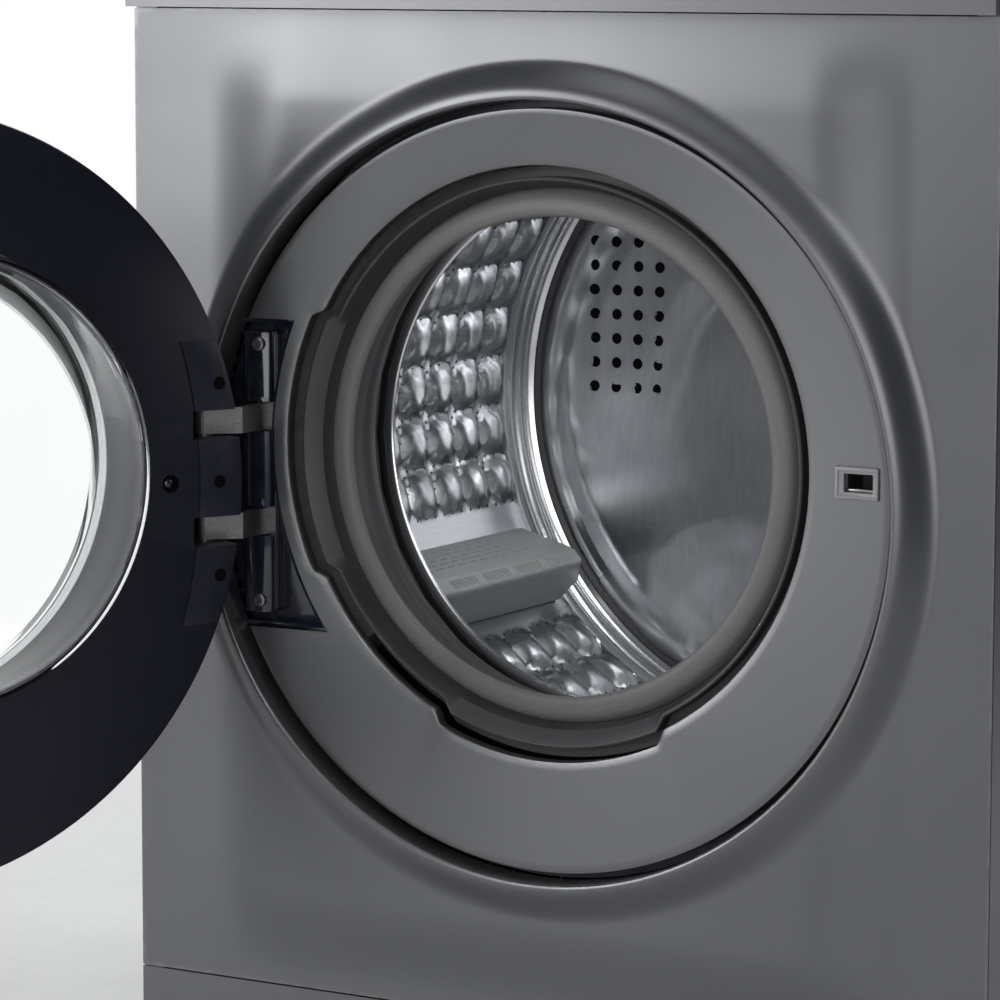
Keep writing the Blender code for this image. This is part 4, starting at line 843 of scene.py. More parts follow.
@dataclass
class Studio:
    """Pale floor, soft lights and the camera."""

    floor_radius: float = 2.1
    lens: float = 154.5
    camera_place: Point = (1289.0, -2242.5)
    camera_rise: float = 331.7
    aim: tuple[float, float, float] = (-21.0, 0.0, -3.4)
    roll: float = 0.10

    def floor(self) -> None:
        """A round pale floor with a softly mottled finish."""
        deselect()
        middle = Vector((DATUM.centre_x, 0.2, 0.0))
        bpy.ops.mesh.primitive_circle_add(vertices=96, radius=self.floor_radius, fill_type="NGON",
                                          location=middle)
        ground = bpy.context.object
        ground.name = "studio_floor"
        pale = Finish("pale_studio_floor", (0.80, 0.80, 0.80), (0.83, 0.83, 0.83), 0.6, grain=60.0,
                      bump=0.02, wear=0.0, dust=0.0).built()
        ground.data.materials.append(pale)

    def light(self, name: str, size: Point, power: float, place: Vector, back: Vector) -> None:
        """A soft rectangular light.

        Args:
            name: The light's name.
            size: Its width and height in metres.
            power: Its power in watts.
            place: Where it is.
            back: The direction from what it lights towards it.
        """
        lamp = bpy.data.lights.new(name, "AREA")
        lamp.shape = "RECTANGLE"
        lamp.size, lamp.size_y = size
        lamp.energy = power
        holder = bpy.data.objects.new(name, lamp)
        bpy.context.scene.collection.objects.link(holder)
        holder.location = place
        holder.rotation_mode = "QUATERNION"
        holder.rotation_quaternion = back.to_track_quat("Z", "Y")

    def lights(self) -> None:
        """The softboxes round the machine and the two small lamps behind the seal, inside the drum."""
        for box in SOFTBOXES:
            bearing, height = math.radians(box.bearing), math.radians(box.rise)
            back = Vector((math.sin(bearing) * math.cos(height), -math.cos(bearing) * math.cos(height),
                           math.sin(height)))
            self.light(box.name, box.size, box.power, DATUM.door_axis() + back * box.reach, back)
        for lamp in DRUM_LAMPS:
            place, aim = DATUM.drum_at(*lamp.place), DATUM.drum_at(*lamp.aim)
            self.light(lamp.name, lamp.size, lamp.power, place, place - aim)

    def surroundings(self) -> None:
        """A dim grey room that the camera and clear glass see as white."""
        world = bpy.data.worlds.new("studio_room")
        bpy.context.scene.world = world
        world.use_nodes = True
        nodes, links = world.node_tree.nodes, world.node_tree.links
        dim = nodes["Background"]
        dim.inputs["Color"].default_value = (0.86, 0.93, 1.0, 1.0)
        dim.inputs["Strength"].default_value = 0.11
        bright = nodes.new("ShaderNodeBackground")
        bright.inputs["Color"].default_value = (1.0, 1.0, 1.0, 1.0)
        path = nodes.new("ShaderNodeLightPath")
        either = nodes.new("ShaderNodeMath")
        either.operation = "MAXIMUM"
        either.use_clamp = True
        links.new(path.outputs["Is Camera Ray"], either.inputs[0])
        links.new(path.outputs["Transmission Depth"], either.inputs[1])
        mix = nodes.new("ShaderNodeMixShader")
        links.new(either.outputs[0], mix.inputs["Fac"])
        links.new(dim.outputs[0], mix.inputs[1])
        links.new(bright.outputs[0], mix.inputs[2])
        links.new(mix.outputs[0], nodes["World Output"].inputs["Surface"])
        bpy.context.scene.view_settings.view_transform = "Standard"

    def camera(self) -> None:
        """The camera: to the right of the door, a little above its middle."""
        data = bpy.data.cameras.new("studio_camera")
        data.lens = self.lens
        data.sensor_width = 36.0
        holder = bpy.data.objects.new("studio_camera", data)
        bpy.context.scene.collection.objects.link(holder)
        bpy.context.scene.camera = holder
        holder.location = DATUM.at(*self.camera_place, self.camera_rise)
        towards = DATUM.at(*self.aim) - holder.location
        holder.rotation_mode = "QUATERNION"
        level = towards.to_track_quat("-Z", "Y")
        holder.rotation_quaternion = level @ Matrix.Rotation(math.radians(self.roll), 3, "Z").to_quaternion()
        data.clip_end = 100.0

    def build(self) -> None:
        """Sets up the whole studio."""
        self.floor()
        self.lights()
        self.surroundings()
        self.camera()


# ---- The front sheet ----
def ease(value: float) -> float:
    """A smooth step from 0 to 1."""
    value = min(max(value, 0.0), 1.0)
    return value * value * (3 - 2 * value)


@dataclass
class FrontSheet:
    """The steel front, pressed out into a raised middle and a round collar.

    It is turned as flat rings, and then each vertex is moved to the depth that height() gives.
    """

    finishes: Finishes
    collar_radius: float = 240.0
    crest_width: float = 2.4
    collar_band: float = 23.0
    sheet_depth: float = 15.0
    raised: float = 6.0
    raised_edge: float = 246.0
    edge_run: float = 38.0
    edge_spread: float = 26.0
    fade_height: float = 56.0
    wall_depth: float = 22.0
    spokes: int = 288
    rings: int = 46
    ring_growth: float = 1.35
    thickness: float = 0.9

    def height(self, across: float, up: float) -> float:
        """How deep the sheet's face is at a place.

        Args:
            across: Millimetres from the collar's axis.
            up: Millimetres above the collar's axis.

        Returns:
            Depth behind the collar's crest, in millimetres.
        """
        run = self.edge_run + self.edge_spread * ease(abs(up) / 240.0)
        plateau = ease((self.raised_edge - abs(across)) / run)
        bottom, top = (DATUM.panel_low - DATUM.door_z) / MM, (DATUM.panel_high - DATUM.door_z) / MM
        plateau *= ease((up - bottom - 8.0) / self.fade_height) * ease((top - 2.0 - up) / self.fade_height)
        radius = math.hypot(across, up)
        bulge = 1.0 - ease((radius - self.collar_radius - self.crest_width) / self.collar_band)
        proud = plateau * self.raised
        return self.sheet_depth - proud - bulge * (self.sheet_depth - proud)

    def edge_reach(self, turn: float) -> float:
        """Distance from the collar's axis to the sheet's border in a direction."""
        right, left = (DATUM.high_x - DATUM.centre_x) / MM, (DATUM.centre_x - DATUM.low_x) / MM
        over, under = (DATUM.panel_high - DATUM.door_z) / MM, (DATUM.door_z - DATUM.panel_low) / MM
        along, up = math.cos(turn), math.sin(turn)
        side = (right if along > 0 else left) / max(abs(along), 1e-9)
        end = (over if up > 0 else under) / max(abs(up), 1e-9)
        return min(side, end)

    def corners(self) -> list[float]:
        """The directions of the sheet's four corners."""
        right, left = DATUM.high_x - DATUM.centre_x, DATUM.low_x - DATUM.centre_x
        over, under = DATUM.panel_high - DATUM.door_z, DATUM.panel_low - DATUM.door_z
        return [math.atan2(up, along) for along in (right, left) for up in (over, under)]

    def build(self) -> None:
        """Models the sheet from rings that open out from the collar to the straight borders."""
        inner = [(self.collar_radius, self.wall_depth), (self.collar_radius, 1.6),
                 (self.collar_radius + 0.3, 0.7), (self.collar_radius + 0.9, 0.15)]
        spread = [(self.collar_radius + self.crest_width + step, 0.0) for step in range(self.rings)]
        sheet = turned("front_sheet", inner + spread, DATUM.door_axis(), self.spokes, closed=False)
        axis = DATUM.door_axis()
        start = self.collar_radius + self.crest_width
        corner_turns = self.corners()
        half_step = math.pi / self.spokes
        for vertex in sheet.data.vertices:
            away = (vertex.co - axis) / MM
            radius = math.hypot(away.x, away.z)
            if radius < start - 0.01:
                continue
            turn = math.atan2(away.z, away.x)
            near = [corner for corner in corner_turns if abs(corner - turn) <= half_step]
            share = (max(radius - start, 0.0) / (self.rings - 1)) ** self.ring_growth
            reach = self.edge_reach(near[0] if near else turn)
            turn = turn + (near[0] - turn) * share if near else turn
            new = start + (reach - start) * share
            across, up = new * math.cos(turn), new * math.sin(turn)
            vertex.co = DATUM.at(across, self.height(across, up), up)
        applied(sheet, "SOLIDIFY", thickness=self.thickness * MM, offset=-1.0)
        seat(sheet, "cabinet", self.finishes.graphite, "graphite", ["front_panel"], 40.0)


# ---- The ring between collar and seal ----
@dataclass
class Surround:
    """The dished ring inside the collar, with a stepped hole for the seal."""

    finishes: Finishes
    outer: float = 235.0
    outer_depth: float = 12.8
    hole: float = 179.6
    hole_depth: float = 16.9
    step: float = 7.0
    bulges: tuple[Point, Point] = ((153.0, 206.5), (245.5, 296.5))
    channel_depth: float = 25.0
    recess_half: float = 98.0
    recess_inner: float = 196.6
    recess_overlap: float = 6.0
    rings: int = 14
    steps: int = 360

    def bulged(self, degrees: float) -> float:
        """How far the hole's edge is moved out in a direction, from 0 to 1."""
        for low, high in self.bulges:
            inside = min(degrees - low, high - degrees)
            if inside > -1.5:
                return ease((inside + 1.5) / 3.0)
        return 0.0

    def recess_outline(self, grow: float) -> list[Vector]:
        """The hinge recess: between the ring's rim and an arc about the drum's axis.

        Args:
            grow: How much larger to make it, in millimetres.

        Returns:
            The outline's points.
        """
        half = self.recess_half + grow
        rise = (DATUM.drum_z - DATUM.door_z) / MM
        rim, arc_radius = self.outer + self.recess_overlap, self.recess_inner - grow
        heights = [half - 2 * half * step / 20 for step in range(21)]
        outside = [DATUM.at(-math.sqrt(rim ** 2 - up ** 2), 0.0, up) for up in heights]
        inside = [DATUM.at(-math.sqrt(arc_radius ** 2 - (up - rise) ** 2), 0.0, up) for up in heights]
        return outside + inside[::-1]

    def build(self) -> None:
        """Models the ring as a dished face between two circles off one centre, then cuts its openings."""
        axis = DATUM.drum_axis()
        rise = (axis.z - DATUM.door_z) / MM
        wall = [(0.0, self.channel_depth), (0.0, self.hole_depth + 0.9), (0.35, self.hole_depth + 0.25),
                (1.0, self.hole_depth)]
        flat = [(1.0 + step, self.hole_depth) for step in range(1, self.rings + 1)]
        edge = [(self.rings + 2.0 + step, 0.0) for step in range(3)]
        profile = [(self.hole + out, depth) for out, depth in wall + flat + edge]
        face = turned("surround_ring", profile, axis, self.steps, closed=False)
        rim = [(self.outer - 0.5, self.outer_depth + 0.15), (self.outer, self.outer_depth + 0.9),
               (self.outer, self.channel_depth)]
        end = self.outer - 1.3
        for vertex in face.data.vertices:
            away = (vertex.co - axis) / MM
            radius, turn = math.hypot(away.x, away.z), math.atan2(away.z, away.x)
            along, up = math.cos(turn), math.sin(turn)
            index = max(round(radius - self.hole - 1.0), 0)
            pushed = self.step * self.bulged(math.degrees(turn) % 360)
            if index > self.rings:
                width, depth = rim[index - self.rings - 1]
                vertex.co = DATUM.at(along * width, depth, up * width)
                continue
            share = index / self.rings
            near = min(radius, self.hole + 1.0) + pushed
            spot = Vector((along * near, up * near + rise)).lerp(Vector((along * end, up * end)), share)
            depth = away.y + (self.outer_depth - self.hole_depth) * share
            vertex.co = DATUM.at(spot.x, depth, spot.y)
        applied(face, "SOLIDIFY", thickness=1.2 * MM, offset=-1.0)
        lift = Vector((0.0, -5 * MM, 0.0))
        outline = [point + lift for point in self.recess_outline(0.5)]
        notch = plate("hinge_notch", outline, Vector((0.0, 60 * MM, 0.0)))
        low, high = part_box("latch_plate")
        slot = block("latch_notch", low + Vector((-0.0002, -0.01, -0.0002)),
                     high + Vector((0.0002, 0.03, 0.0002)))
        cut(face, notch, slot)
        seat(face, "cabinet", self.finishes.graphite, "graphite", ["door_surround"], 38.0)

    def well(self) -> None:
        """A navy ring behind the gap between collar and ring: painted shade that makes the gap read dark."""
        outer, inner = 239.7, self.outer - 12.0
        profile = [(inner, 27.0), (outer, 27.0), (outer, 29.0), (inner, 29.0)]
        well = turned("collar_gap_shade", profile, DATUM.door_axis(), 120)
        # Painted shade: the navy ring darkens the floor of the gap.
        seat(well, "cabinet", self.finishes.navy, "navy")


# ---- The seal ----
@dataclass
class Seal:
    """The rubber seal: a stepped flange, a grey lip and a bellows to the tub."""

    finishes: Finishes
    surround: Surround
    ledge: float = 171.0
    bulge: float = 6.4
    steps: int = 240

    def build(self) -> None:
        """Models the flange, the lip and the bellows."""
        axis = DATUM.drum_axis()
        flange = [(self.ledge + 1.5, 23.6), (self.ledge + 0.6, 22.9), (self.ledge - 0.6, 23.2),
                  (168.6, 30.5), (167.6, 35.5), (165.4, 38.0), (165.4, 41.0), (self.ledge + 8.0, 41.0),
                  (self.ledge + 8.0, 34.0), (self.ledge + 1.5, 34.0)]
        ledge = turned("seal_flange", flange, axis, 360)
        self._bulge(ledge)
        seat(ledge, "cabinet", self.finishes.rubber, "rubber")
        lip = [(165.3, 38.2), (164.0, 36.2), (162.6, 33.8), (160.8, 31.9), (157.6, 30.3), (153.6, 29.5),
               (150.4, 29.6), (148.6, 30.5), (147.9, 32.2), (148.2, 34.4), (150.2, 36.0), (158.0, 37.6),
               (162.4, 39.4), (165.3, 40.8)]
        ring = turned("seal_lip", lip, axis, self.steps)
        seat(ring, "cabinet", self.finishes.lip_rubber, "rubber", degrees=60.0)
        inner = [(149.6, 36.2), (150.6, 42.0), (152.6, 50.0), (155.8, 58.0), (157.4, 60.8), (157.2, 63.4),
                 (156.2, 65.6), (158.2, 72.0), (161.2, 80.0), (164.4, 86.0), (168.6, 88.6), (172.5, 88.9)]
        bellows = turned("seal_bellows", self._bellows(inner), axis, self.steps)
        bellows.data.materials.clear()
        bellows.data.materials.append(self.finishes.rubber)
        take(bellows)
        bpy.ops.object.shade_smooth_by_angle(angle=math.radians(60))
        DATUM.at(0, 40, 0)
        DATUM.at(0, 84, 0)
        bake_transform(bellows)
        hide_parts("gasket")
        LOG.info("seal_bellows: %d faces between cabinet and tub", len(bellows.data.polygons))

    @staticmethod
    def _bellows(face: Sequence[Point]) -> list[Point]:
        """Closes the bellows' inner line with an outer one a wall away."""
        return list(face) + [(radius + 2.2, depth + 0.4) for radius, depth in reversed(face)]

    def _bulge(self, ledge: Object) -> None:
        """Gives the flange the same bulges as the ring's hole."""
        axis = DATUM.drum_axis()
        edge = self.ledge - 1.5
        for share in (0.25, 0.5, 0.75):
            def wanted(place: Vector, _: Vector, share: float = share) -> bool:
                away = (place - axis) / MM
                bearing = math.degrees(math.atan2(away.z, away.x)) % 360
                return math.hypot(away.x, away.z) > edge and self.surround.bulged(bearing) >= share
            pick(ledge, Pick.VERTS, wanted)
            grow = 1.0 + self.bulge / 3 / self.ledge
            with editing(ledge, Pick.VERTS):
                bpy.ops.transform.resize(value=(grow, 1.0, grow), center_override=axis)


# ---- The drum ----
@dataclass
class Drum:
    """The stainless drum: pressed and pierced wall, back plate and three lifters."""

    finishes: Finishes
    radius: float = 225.8
    front: float = 105.0
    lip: float = 163.0
    rows: int = 11
    cells: int = 9
    bare_cells: int = 24
    columns: int = 7
    pitch: float = 35.0
    first_column: float = 109.0
    first_row: float = 102.9
    lifter_angle: float = 212.0
    wrapper_end: float = 386.0
    drain_hole: float = 1.75
    hole_radius: float = 3.6
    hole_pitch: float = 17.0
    hole_left: float = -168.0
    hole_low: float = 5.0

    @property
    def round_cells(self) -> int:
        """How many cells of the wall go round the drum."""
        return 3 * (self.rows * self.cells + self.bare_cells)

    def cell_at(self, place: Vector) -> tuple[float, float, float]:
        """Where a place is on the pressed pattern.

        Args:
            place: A point on the drum's wall.

        Returns:
            Cells round the drum within its third, cells along it, and the radius in millimetres.
        """
        away = (place - DATUM.drum_axis()) / MM
        degrees = (math.degrees(math.atan2(away.z, away.x)) - self.first_row + 0.01) % 120.0
        around = degrees / 120.0 * self.round_cells / 3
        along = (away.y - self.first_column) / self.pitch * self.cells
        return around, along, math.hypot(away.x, away.z)

    def in_pillow(self, inset: float) -> Callable[[Vector, Vector], bool]:
        """A test for the vertices of every pillow that lie a number of cells in from its border.

        Args:
            inset: How many cells in from the pillow's border the vertices start.

        Returns:
            The test.
        """
        low, high = 1 + inset, self.cells - 1 - inset

        def test(place: Vector, _: Vector) -> bool:
            around, along, radius = self.cell_at(place)
            if around >= self.rows * self.cells - 0.1 or not 0 < along < self.columns * self.cells:
                return False
            across, deep = around % self.cells, along % self.cells
            inside = low - 0.1 < across < high + 0.1 and low - 0.1 < deep < high + 0.1
            corner = min(across - low, high - across) < 0.1 and min(deep - low, high - deep) < 0.1
            return inside and not corner and radius > self.radius - 12.0
        return test

    def on_hole(self, place: Vector, _: Vector) -> bool:
        """Whether a vertex is the middle of a drain hole."""
        around, along, radius = self.cell_at(place)
        across, deep = round(around), round(along)
        off_grid = abs(around - across) > 0.2 or abs(along - deep) > 0.2
        if off_grid or radius < self.radius - 1.0:
            return False
        last = self.columns * self.cells
        if not 0 <= deep <= last or across > self.rows * self.cells:
            return False
        on_row = across % self.cells == 0 and deep % 3 == 1
        on_column = deep % self.cells == 0 and across % 3 == 1 and 0 < deep < last
        return on_row or on_column

    def wrapper(self) -> None:
        """The wall, pressed into pillows and pierced, with its rolled front edge and rear beads."""
        wall = self.radius
        lip = [(self.lip + 1.2, self.front + 3.2), (self.lip, self.front + 2.2), (self.lip, self.front + 0.8),
               (self.lip + 1.4, self.front), (self.lip + 20.0, self.front - 0.6),
               (wall - 16.0, self.front - 2.2), (wall - 6.0, self.front - 1.2),
               (wall - 1.6, self.front + 1.6)]
        cell = self.pitch / self.cells
        body = [(wall, self.first_column + cell * step) for step in range(self.columns * self.cells + 1)]
        last = body[-1][1]
        rear = [(wall, last + 3.0), (wall - 2.6, last + 5.2), (wall - 3.2, last + 7.6),
                (wall - 2.4, last + 10.0), (wall, last + 12.4), (wall, last + 16.0),
                (wall - 3.0, last + 18.4), (wall - 3.6, last + 20.8), (wall - 2.6, last + 23.4),
                (wall - 0.4, last + 26.0), (wall - 1.0, last + 28.4),
                (wall - 5.0, self.wrapper_end - 1.6), (wall - 8.4, self.wrapper_end)]
        drum = turned("drum_wrapper", lip + body + rear, DATUM.drum_axis(), self.round_cells, closed=False)
        self._line_up(drum)
        axis = DATUM.drum_axis()
        for inset, rise in ((0, 2.6), (1, 2.2), (2, 0.9)):
            pick(drum, Pick.VERTS, self.in_pillow(inset))
            shrink = 1.0 - rise / wall
            with editing(drum, Pick.VERTS):
                bpy.ops.transform.resize(value=(shrink, 1.0, shrink), center_override=axis)
        pick(drum, Pick.VERTS, self.on_hole)
        with editing(drum, Pick.VERTS):
            bpy.ops.mesh.bevel(offset=self.drain_hole * MM, segments=2, affect="VERTICES", clamp_overlap=True)
            bpy.context.tool_settings.mesh_select_mode = Pick.FACES.value
            bpy.ops.mesh.select_mode(type="FACE")
            bpy.ops.mesh.delete(type="FACE")
        seat(drum, "drum", self.finishes.stainless, "stainless", ["drum_shell"], 50.0)

    def _line_up(self, drum: Object) -> None:
        """Turns the wall so that a row of cells starts at the first row's edge."""
        per_cell = 360.0 / self.round_cells
        offset = (self.first_row - 90.0) % per_cell
        drum.data.transform(about(DATUM.drum_axis(), -offset))

    def back(self) -> None:
        """The pressed back plate: three pockets between its arms, each with a field of drain holes painted as
        near-black discs of shade.
        """
        start = self.wrapper_end
        rim = [(216.4, start + 2.2), (213.2, start + 2.0), (210.4, start - 1.0), (207.4, start - 2.6),
               (204.4, start - 2.8), (201.4, start - 1.4)]
        floor = [(200.0 - 5.0 * step, start - 1.0 - 7.6 * ease(step / 3.0) - 0.12 * step)
                 for step in range(34)]
        hub = [(26.0, start - 14.2), (20.0, start - 15.8), (10.0, start - 16.4), (0.0, start - 16.6)]
        disc = turned("drum_back_plate", rim + floor + hub, DATUM.drum_axis(), 168, closed=False)
        for radius_in, radius_out, half, push in ((96.0, 199.0, 44.0, 2.0), (103.0, 192.0, 39.0, 2.9),
                                                  (111.0, 185.0, 34.0, 2.3), (120.0, 178.0, 29.0, 1.2)):
            def pocket(place: Vector, _: Vector, low: float = radius_in, high: float = radius_out,
                       wide: float = half) -> bool:
                away = (place - DATUM.drum_axis()) / MM
                radius = math.hypot(away.x, away.z)
                turn = (math.degrees(math.atan2(away.z, away.x)) - (self.lifter_angle - 62.0)) % 120.0
                side = min(turn, 120.0 - turn) / wide
                middle, span = (low + high) / 2, (high - low) / 2
                return abs(side) ** 3.0 + abs((radius - middle) / span) ** 3.0 < 1.0
            pick(disc, Pick.VERTS, pocket)
            with editing(disc, Pick.VERTS):
                bpy.ops.transform.translate(value=(0.0, push * MM, 0.0))
        applied(disc, "SMOOTH", factor=0.5, iterations=5)
        applied(disc, "SOLIDIFY", thickness=0.8 * MM, offset=0.0)
        self.back_holes(disc)
        # The plate's darker steel colour is partly painted shade.
        seat(disc, "drum", self.finishes.mirror_steel, "stainless", ["drum_back"], 50.0)
        seam = turned("drum_seam", [(217.6, start - 0.6), (219.4, start - 0.6), (219.4, start + 2.6),
                                    (214.0, start + 2.9), (214.0, start + 2.2)], DATUM.drum_axis(), 168)
        seat(seam, "drum", self.finishes.black, "black_plastic")

    def back_holes(self, disc: Object) -> None:
        """The back plate's three fields of drain holes, each a thin near-black disc laid against the plate's
        slope: painted shade that stands for the dark inside a hole.

        Args:
            disc: The back plate.
        """
        # Each hole is a disc, not an opening, finished near-black as painted shade.
        profile = [(0.0, -0.10), (3.3, -0.10), (self.hole_radius, -0.22), (3.9, -0.10), (4.0, 0.6),
                   (0.0, 0.9)]
        first = turned("hole", profile, Vector((0.0, 0.0, 0.0)), 20, closed=False)
        rise = (DATUM.drum_z - DATUM.door_z) / MM
        holes = []
        for third in range(3):
            turn = about(DATUM.drum_axis(), 120.0 * third)
            for place in range(28):
                column, row = place % 4, place // 4
                start = turn @ DATUM.at(self.hole_left + self.hole_pitch * column, self.front + 100.0,
                                        rise + self.hole_low + self.hole_pitch * row)
                hit, spot, normal, _ = disc.ray_cast(start, Vector((0.0, 1.0, 0.0)))
                if hit:
                    lean = Vector((0.0, -1.0, 0.0)).rotation_difference(normal).to_matrix().to_4x4()
                    holes.append(copied(first, f"hole_{third}_{place}", Matrix.Translation(spot) @ lean))
        bpy.data.objects.remove(first)
        seat(joined("drain_hole_shade_discs", holes), "drum", self.finishes.void, "black_plastic")

    def lifter(self) -> Object:
        """One lifter: a broad slotted slope, a combed crest strip and a plain steep side.

        Returns:
            The lifter at the first angle.
        """
        axis = DATUM.drum_axis()

        def spot(tangent: float, height: float, depth: float) -> Vector:
            """A point given by its distance along the wall, its height over it and its depth."""
            turn = math.radians(self.lifter_angle)
            out = Vector((math.cos(turn), 0.0, math.sin(turn)))
            side = Vector((-math.sin(turn), 0.0, math.cos(turn)))
            across = (out * (self.radius - 2.6 - height) + side * tangent) * MM
            return axis + across + Vector((0, depth * MM, 0))

        near, far = 122.0, 344.0
        section = [(-29.5, 0.0), (4.5, 41.0), (6.5, 43.6), (9.0, 45.0), (16.5, 46.4), (19.0, 45.0),
                   (20.5, 41.0), (24.0, 20.0), (29.0, 0.0)]
        body = plate("lifter_body", [spot(t, h, near) for t, h in section], Vector((0, (far - near) * MM, 0)))
        for end, lean in ((near, 11.0), (far, -26.0)):
            pick(body, Pick.VERTS, lambda place, _: abs((place.y - axis.y) / MM - end) < 0.1
                 and (place - axis - Vector((0, place.y - axis.y, 0))).length / MM < self.radius - 30.0)
            with editing(body, Pick.VERTS):
                bpy.ops.transform.translate(value=(0.0, lean * MM, 0.0))
        rounded(body, 2.2, 3, 25.0)
        slots = []
        slope = Vector((37.0, 44.0)).normalized()
        for row in range(5):
            along = 10.0 + 7.4 * row
            for dash in range(11):
                middle = near + 32.0 + 14.2 * dash + (3.0 if row % 2 else 0.0)
                if middle > far - 42.0 - 4.0 * row:
                    continue
                for tooth in range(4):
                    depth = middle - 3.6 + 2.4 * tooth
                    t, h = -29.5 + slope.x * along, slope.y * along
                    across, away = slope * 1.0, Vector((-slope.y, slope.x)) * 3.0
                    loop = [(t - across.x, h - across.y), (t + across.x, h + across.y)]
                    ring = [spot(a + away.x * s, b + away.y * s, depth) for (a, b), s in
                            ((loop[0], -1), (loop[1], -1), (loop[1], 1), (loop[0], 1))]
                    slots.append(plate("slot", ring, Vector((0, 1.7 * MM, 0))))
        for group in range(4):
            for tooth in range(11):
                depth = near + 26.0 + 42.0 * group + 3.1 * tooth
                ring = [spot(t, h, depth) for t, h in ((9.5, 52.0), (16.0, 52.0), (16.0, 42.4), (9.5, 41.2))]
                slots.append(plate("tooth", ring, Vector((0, 1.3 * MM, 0))))
        cut(body, joined("slots", slots))
        return body

    def lifters(self) -> None:
        """The three lifters, modelled once and copied round the drum."""
        first = self.lifter()
        for index in range(3):
            turn = about(DATUM.drum_axis(), -120.0 * index)
            each = copied(first, f"lifter_paddle_{index + 1}", turn)
            seat(each, "drum", self.finishes.grey, "grey_plastic", [f"lifter_{index + 1}"], 35.0)
        bpy.data.objects.remove(first)

    def build(self) -> None:
        """Builds the whole drum."""
        self.wrapper()
        self.back()
        self.lifters()


# ---- Hinge and latch ----
@dataclass
class Hinge:
    """The hinge's glossy tray in the recess, its cover column and screws."""

    finishes: Finishes
    surround: Surround
    floor_depth: float = 27.5
    rim_depth: float = 18.2

    def build(self) -> None:
        """Models the tray, its column and the two screws."""
        lift = Vector((0.0, self.rim_depth * MM, 0.0))
        outline = [p + lift for p in self.surround.recess_outline(0.1)]
        tray = plate("hinge_tray", outline, Vector((0, 11.8 * MM, 0)))
        hollow = [p + Vector((0, (self.rim_depth - 8) * MM, 0)) for p in self.surround.recess_outline(-2.8)]
        pocket = plate("tray_pocket", hollow, Vector((0, (self.floor_depth - self.rim_depth + 8) * MM, 0)))
        cut(tray, pocket)
        rounded(tray, 0.8, 2, 40.0)
        seat(tray, "cabinet", self.finishes.gloss_navy, "navy", ["hinge_bracket"])
        cover = [(-222.0, 27.0), (-222.0, 20.5), (-219.0, 17.6), (-214.0, 16.8), (-205.0, 17.4),
                 (-201.0, 20.0), (-200.0, 27.0)]
        leaf = plate("hinge_leaf", [DATUM.at(x, y, -90.0) for x, y in cover], Vector((0, 0, 180 * MM)))
        rounded(leaf, 0.9, 2, 30.0)
        gaps = [block("arm_gap", DATUM.at(-226.0, 5.0, z - 9.4), DATUM.at(-199.0, 30.0, z + 9.4))
                for z in (35.7, -31.2)]
        cut(leaf, *gaps)
        seat(leaf, "cabinet", self.finishes.gloss_navy, "navy", degrees=40.0)
        for index, up in enumerate((82.0, -82.0)):
            seat(screw(f"hinge_screw_{index + 1}", DATUM.at(-208.0, 16.9, up), 4.6), "cabinet",
                 self.finishes.brushed, "steel")


def screw(name: str, place: Vector, radius: float, towards: float = -1.0) -> Object:
    """A pan head with a cross recess.

    Args:
        name: The piece's name.
        place: Where the head meets the surface.
        radius: The head's radius in millimetres.
        towards: The side of the surface it stands on, -1 to the front and 1 to the rear.

    Returns:
        The screw's head.
    """
    tall = radius * 0.55 * towards
    profile = [(0.0, -tall), (radius * 0.96, -tall), (radius, 0.0), (radius * 0.93, tall * 0.55),
               (radius * 0.72, tall * 0.9), (radius * 0.4, tall), (0.0, tall)]
    head = turned(name, profile, place, 20, closed=False)
    arm, thin = radius * 0.62 * MM, radius * 0.12 * MM
    bars = []
    for wide, high in ((arm, thin), (thin, arm)):
        low = place + Vector((-wide, tall * 0.35 * MM, -high))
        high_corner = place + Vector((wide, tall * 1.6 * MM, high))
        bars.append(block("cross", Vector(map(min, low, high_corner)), Vector(map(max, low, high_corner))))
    return cut(head, *bars)


@dataclass
class Latch:
    """The catch plate at the right of the ring."""

    finishes: Finishes

    def build(self) -> None:
        """Models the plate with its tapered mouth."""
        low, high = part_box("latch_plate")
        plate_low = Vector((low.x, low.y - 0.0004, low.z))
        body = block("catch_plate", plate_low, Vector((high.x, low.y + 0.012, high.z)), 0.9)
        middle = (low + high) / 2
        mouth = block("mouth", Vector((middle.x - 0.0085, low.y - 0.004, middle.z - 0.0056)),
                      Vector((middle.x + 0.0105, high.y + 0.02, middle.z + 0.0056)), 0.6, 2)
        dish = block("dish", Vector((low.x + 0.002, low.y - 0.004, low.z + 0.002)),
                     Vector((high.x - 0.0016, low.y + 0.0004, high.z - 0.002)), 0.3, 2)
        cut(body, dish, mouth)
        seat(body, "cabinet", self.finishes.catch, "grey_plastic", ["latch_plate"])
        tongue = block("catch_tongue", Vector((middle.x - 0.008, low.y + 0.003, middle.z - 0.0055)),
                       Vector((middle.x + 0.010, low.y + 0.009, middle.z - 0.0037)), 0.4, 2)
        seat(tongue, "cabinet", self.finishes.brushed, "steel")


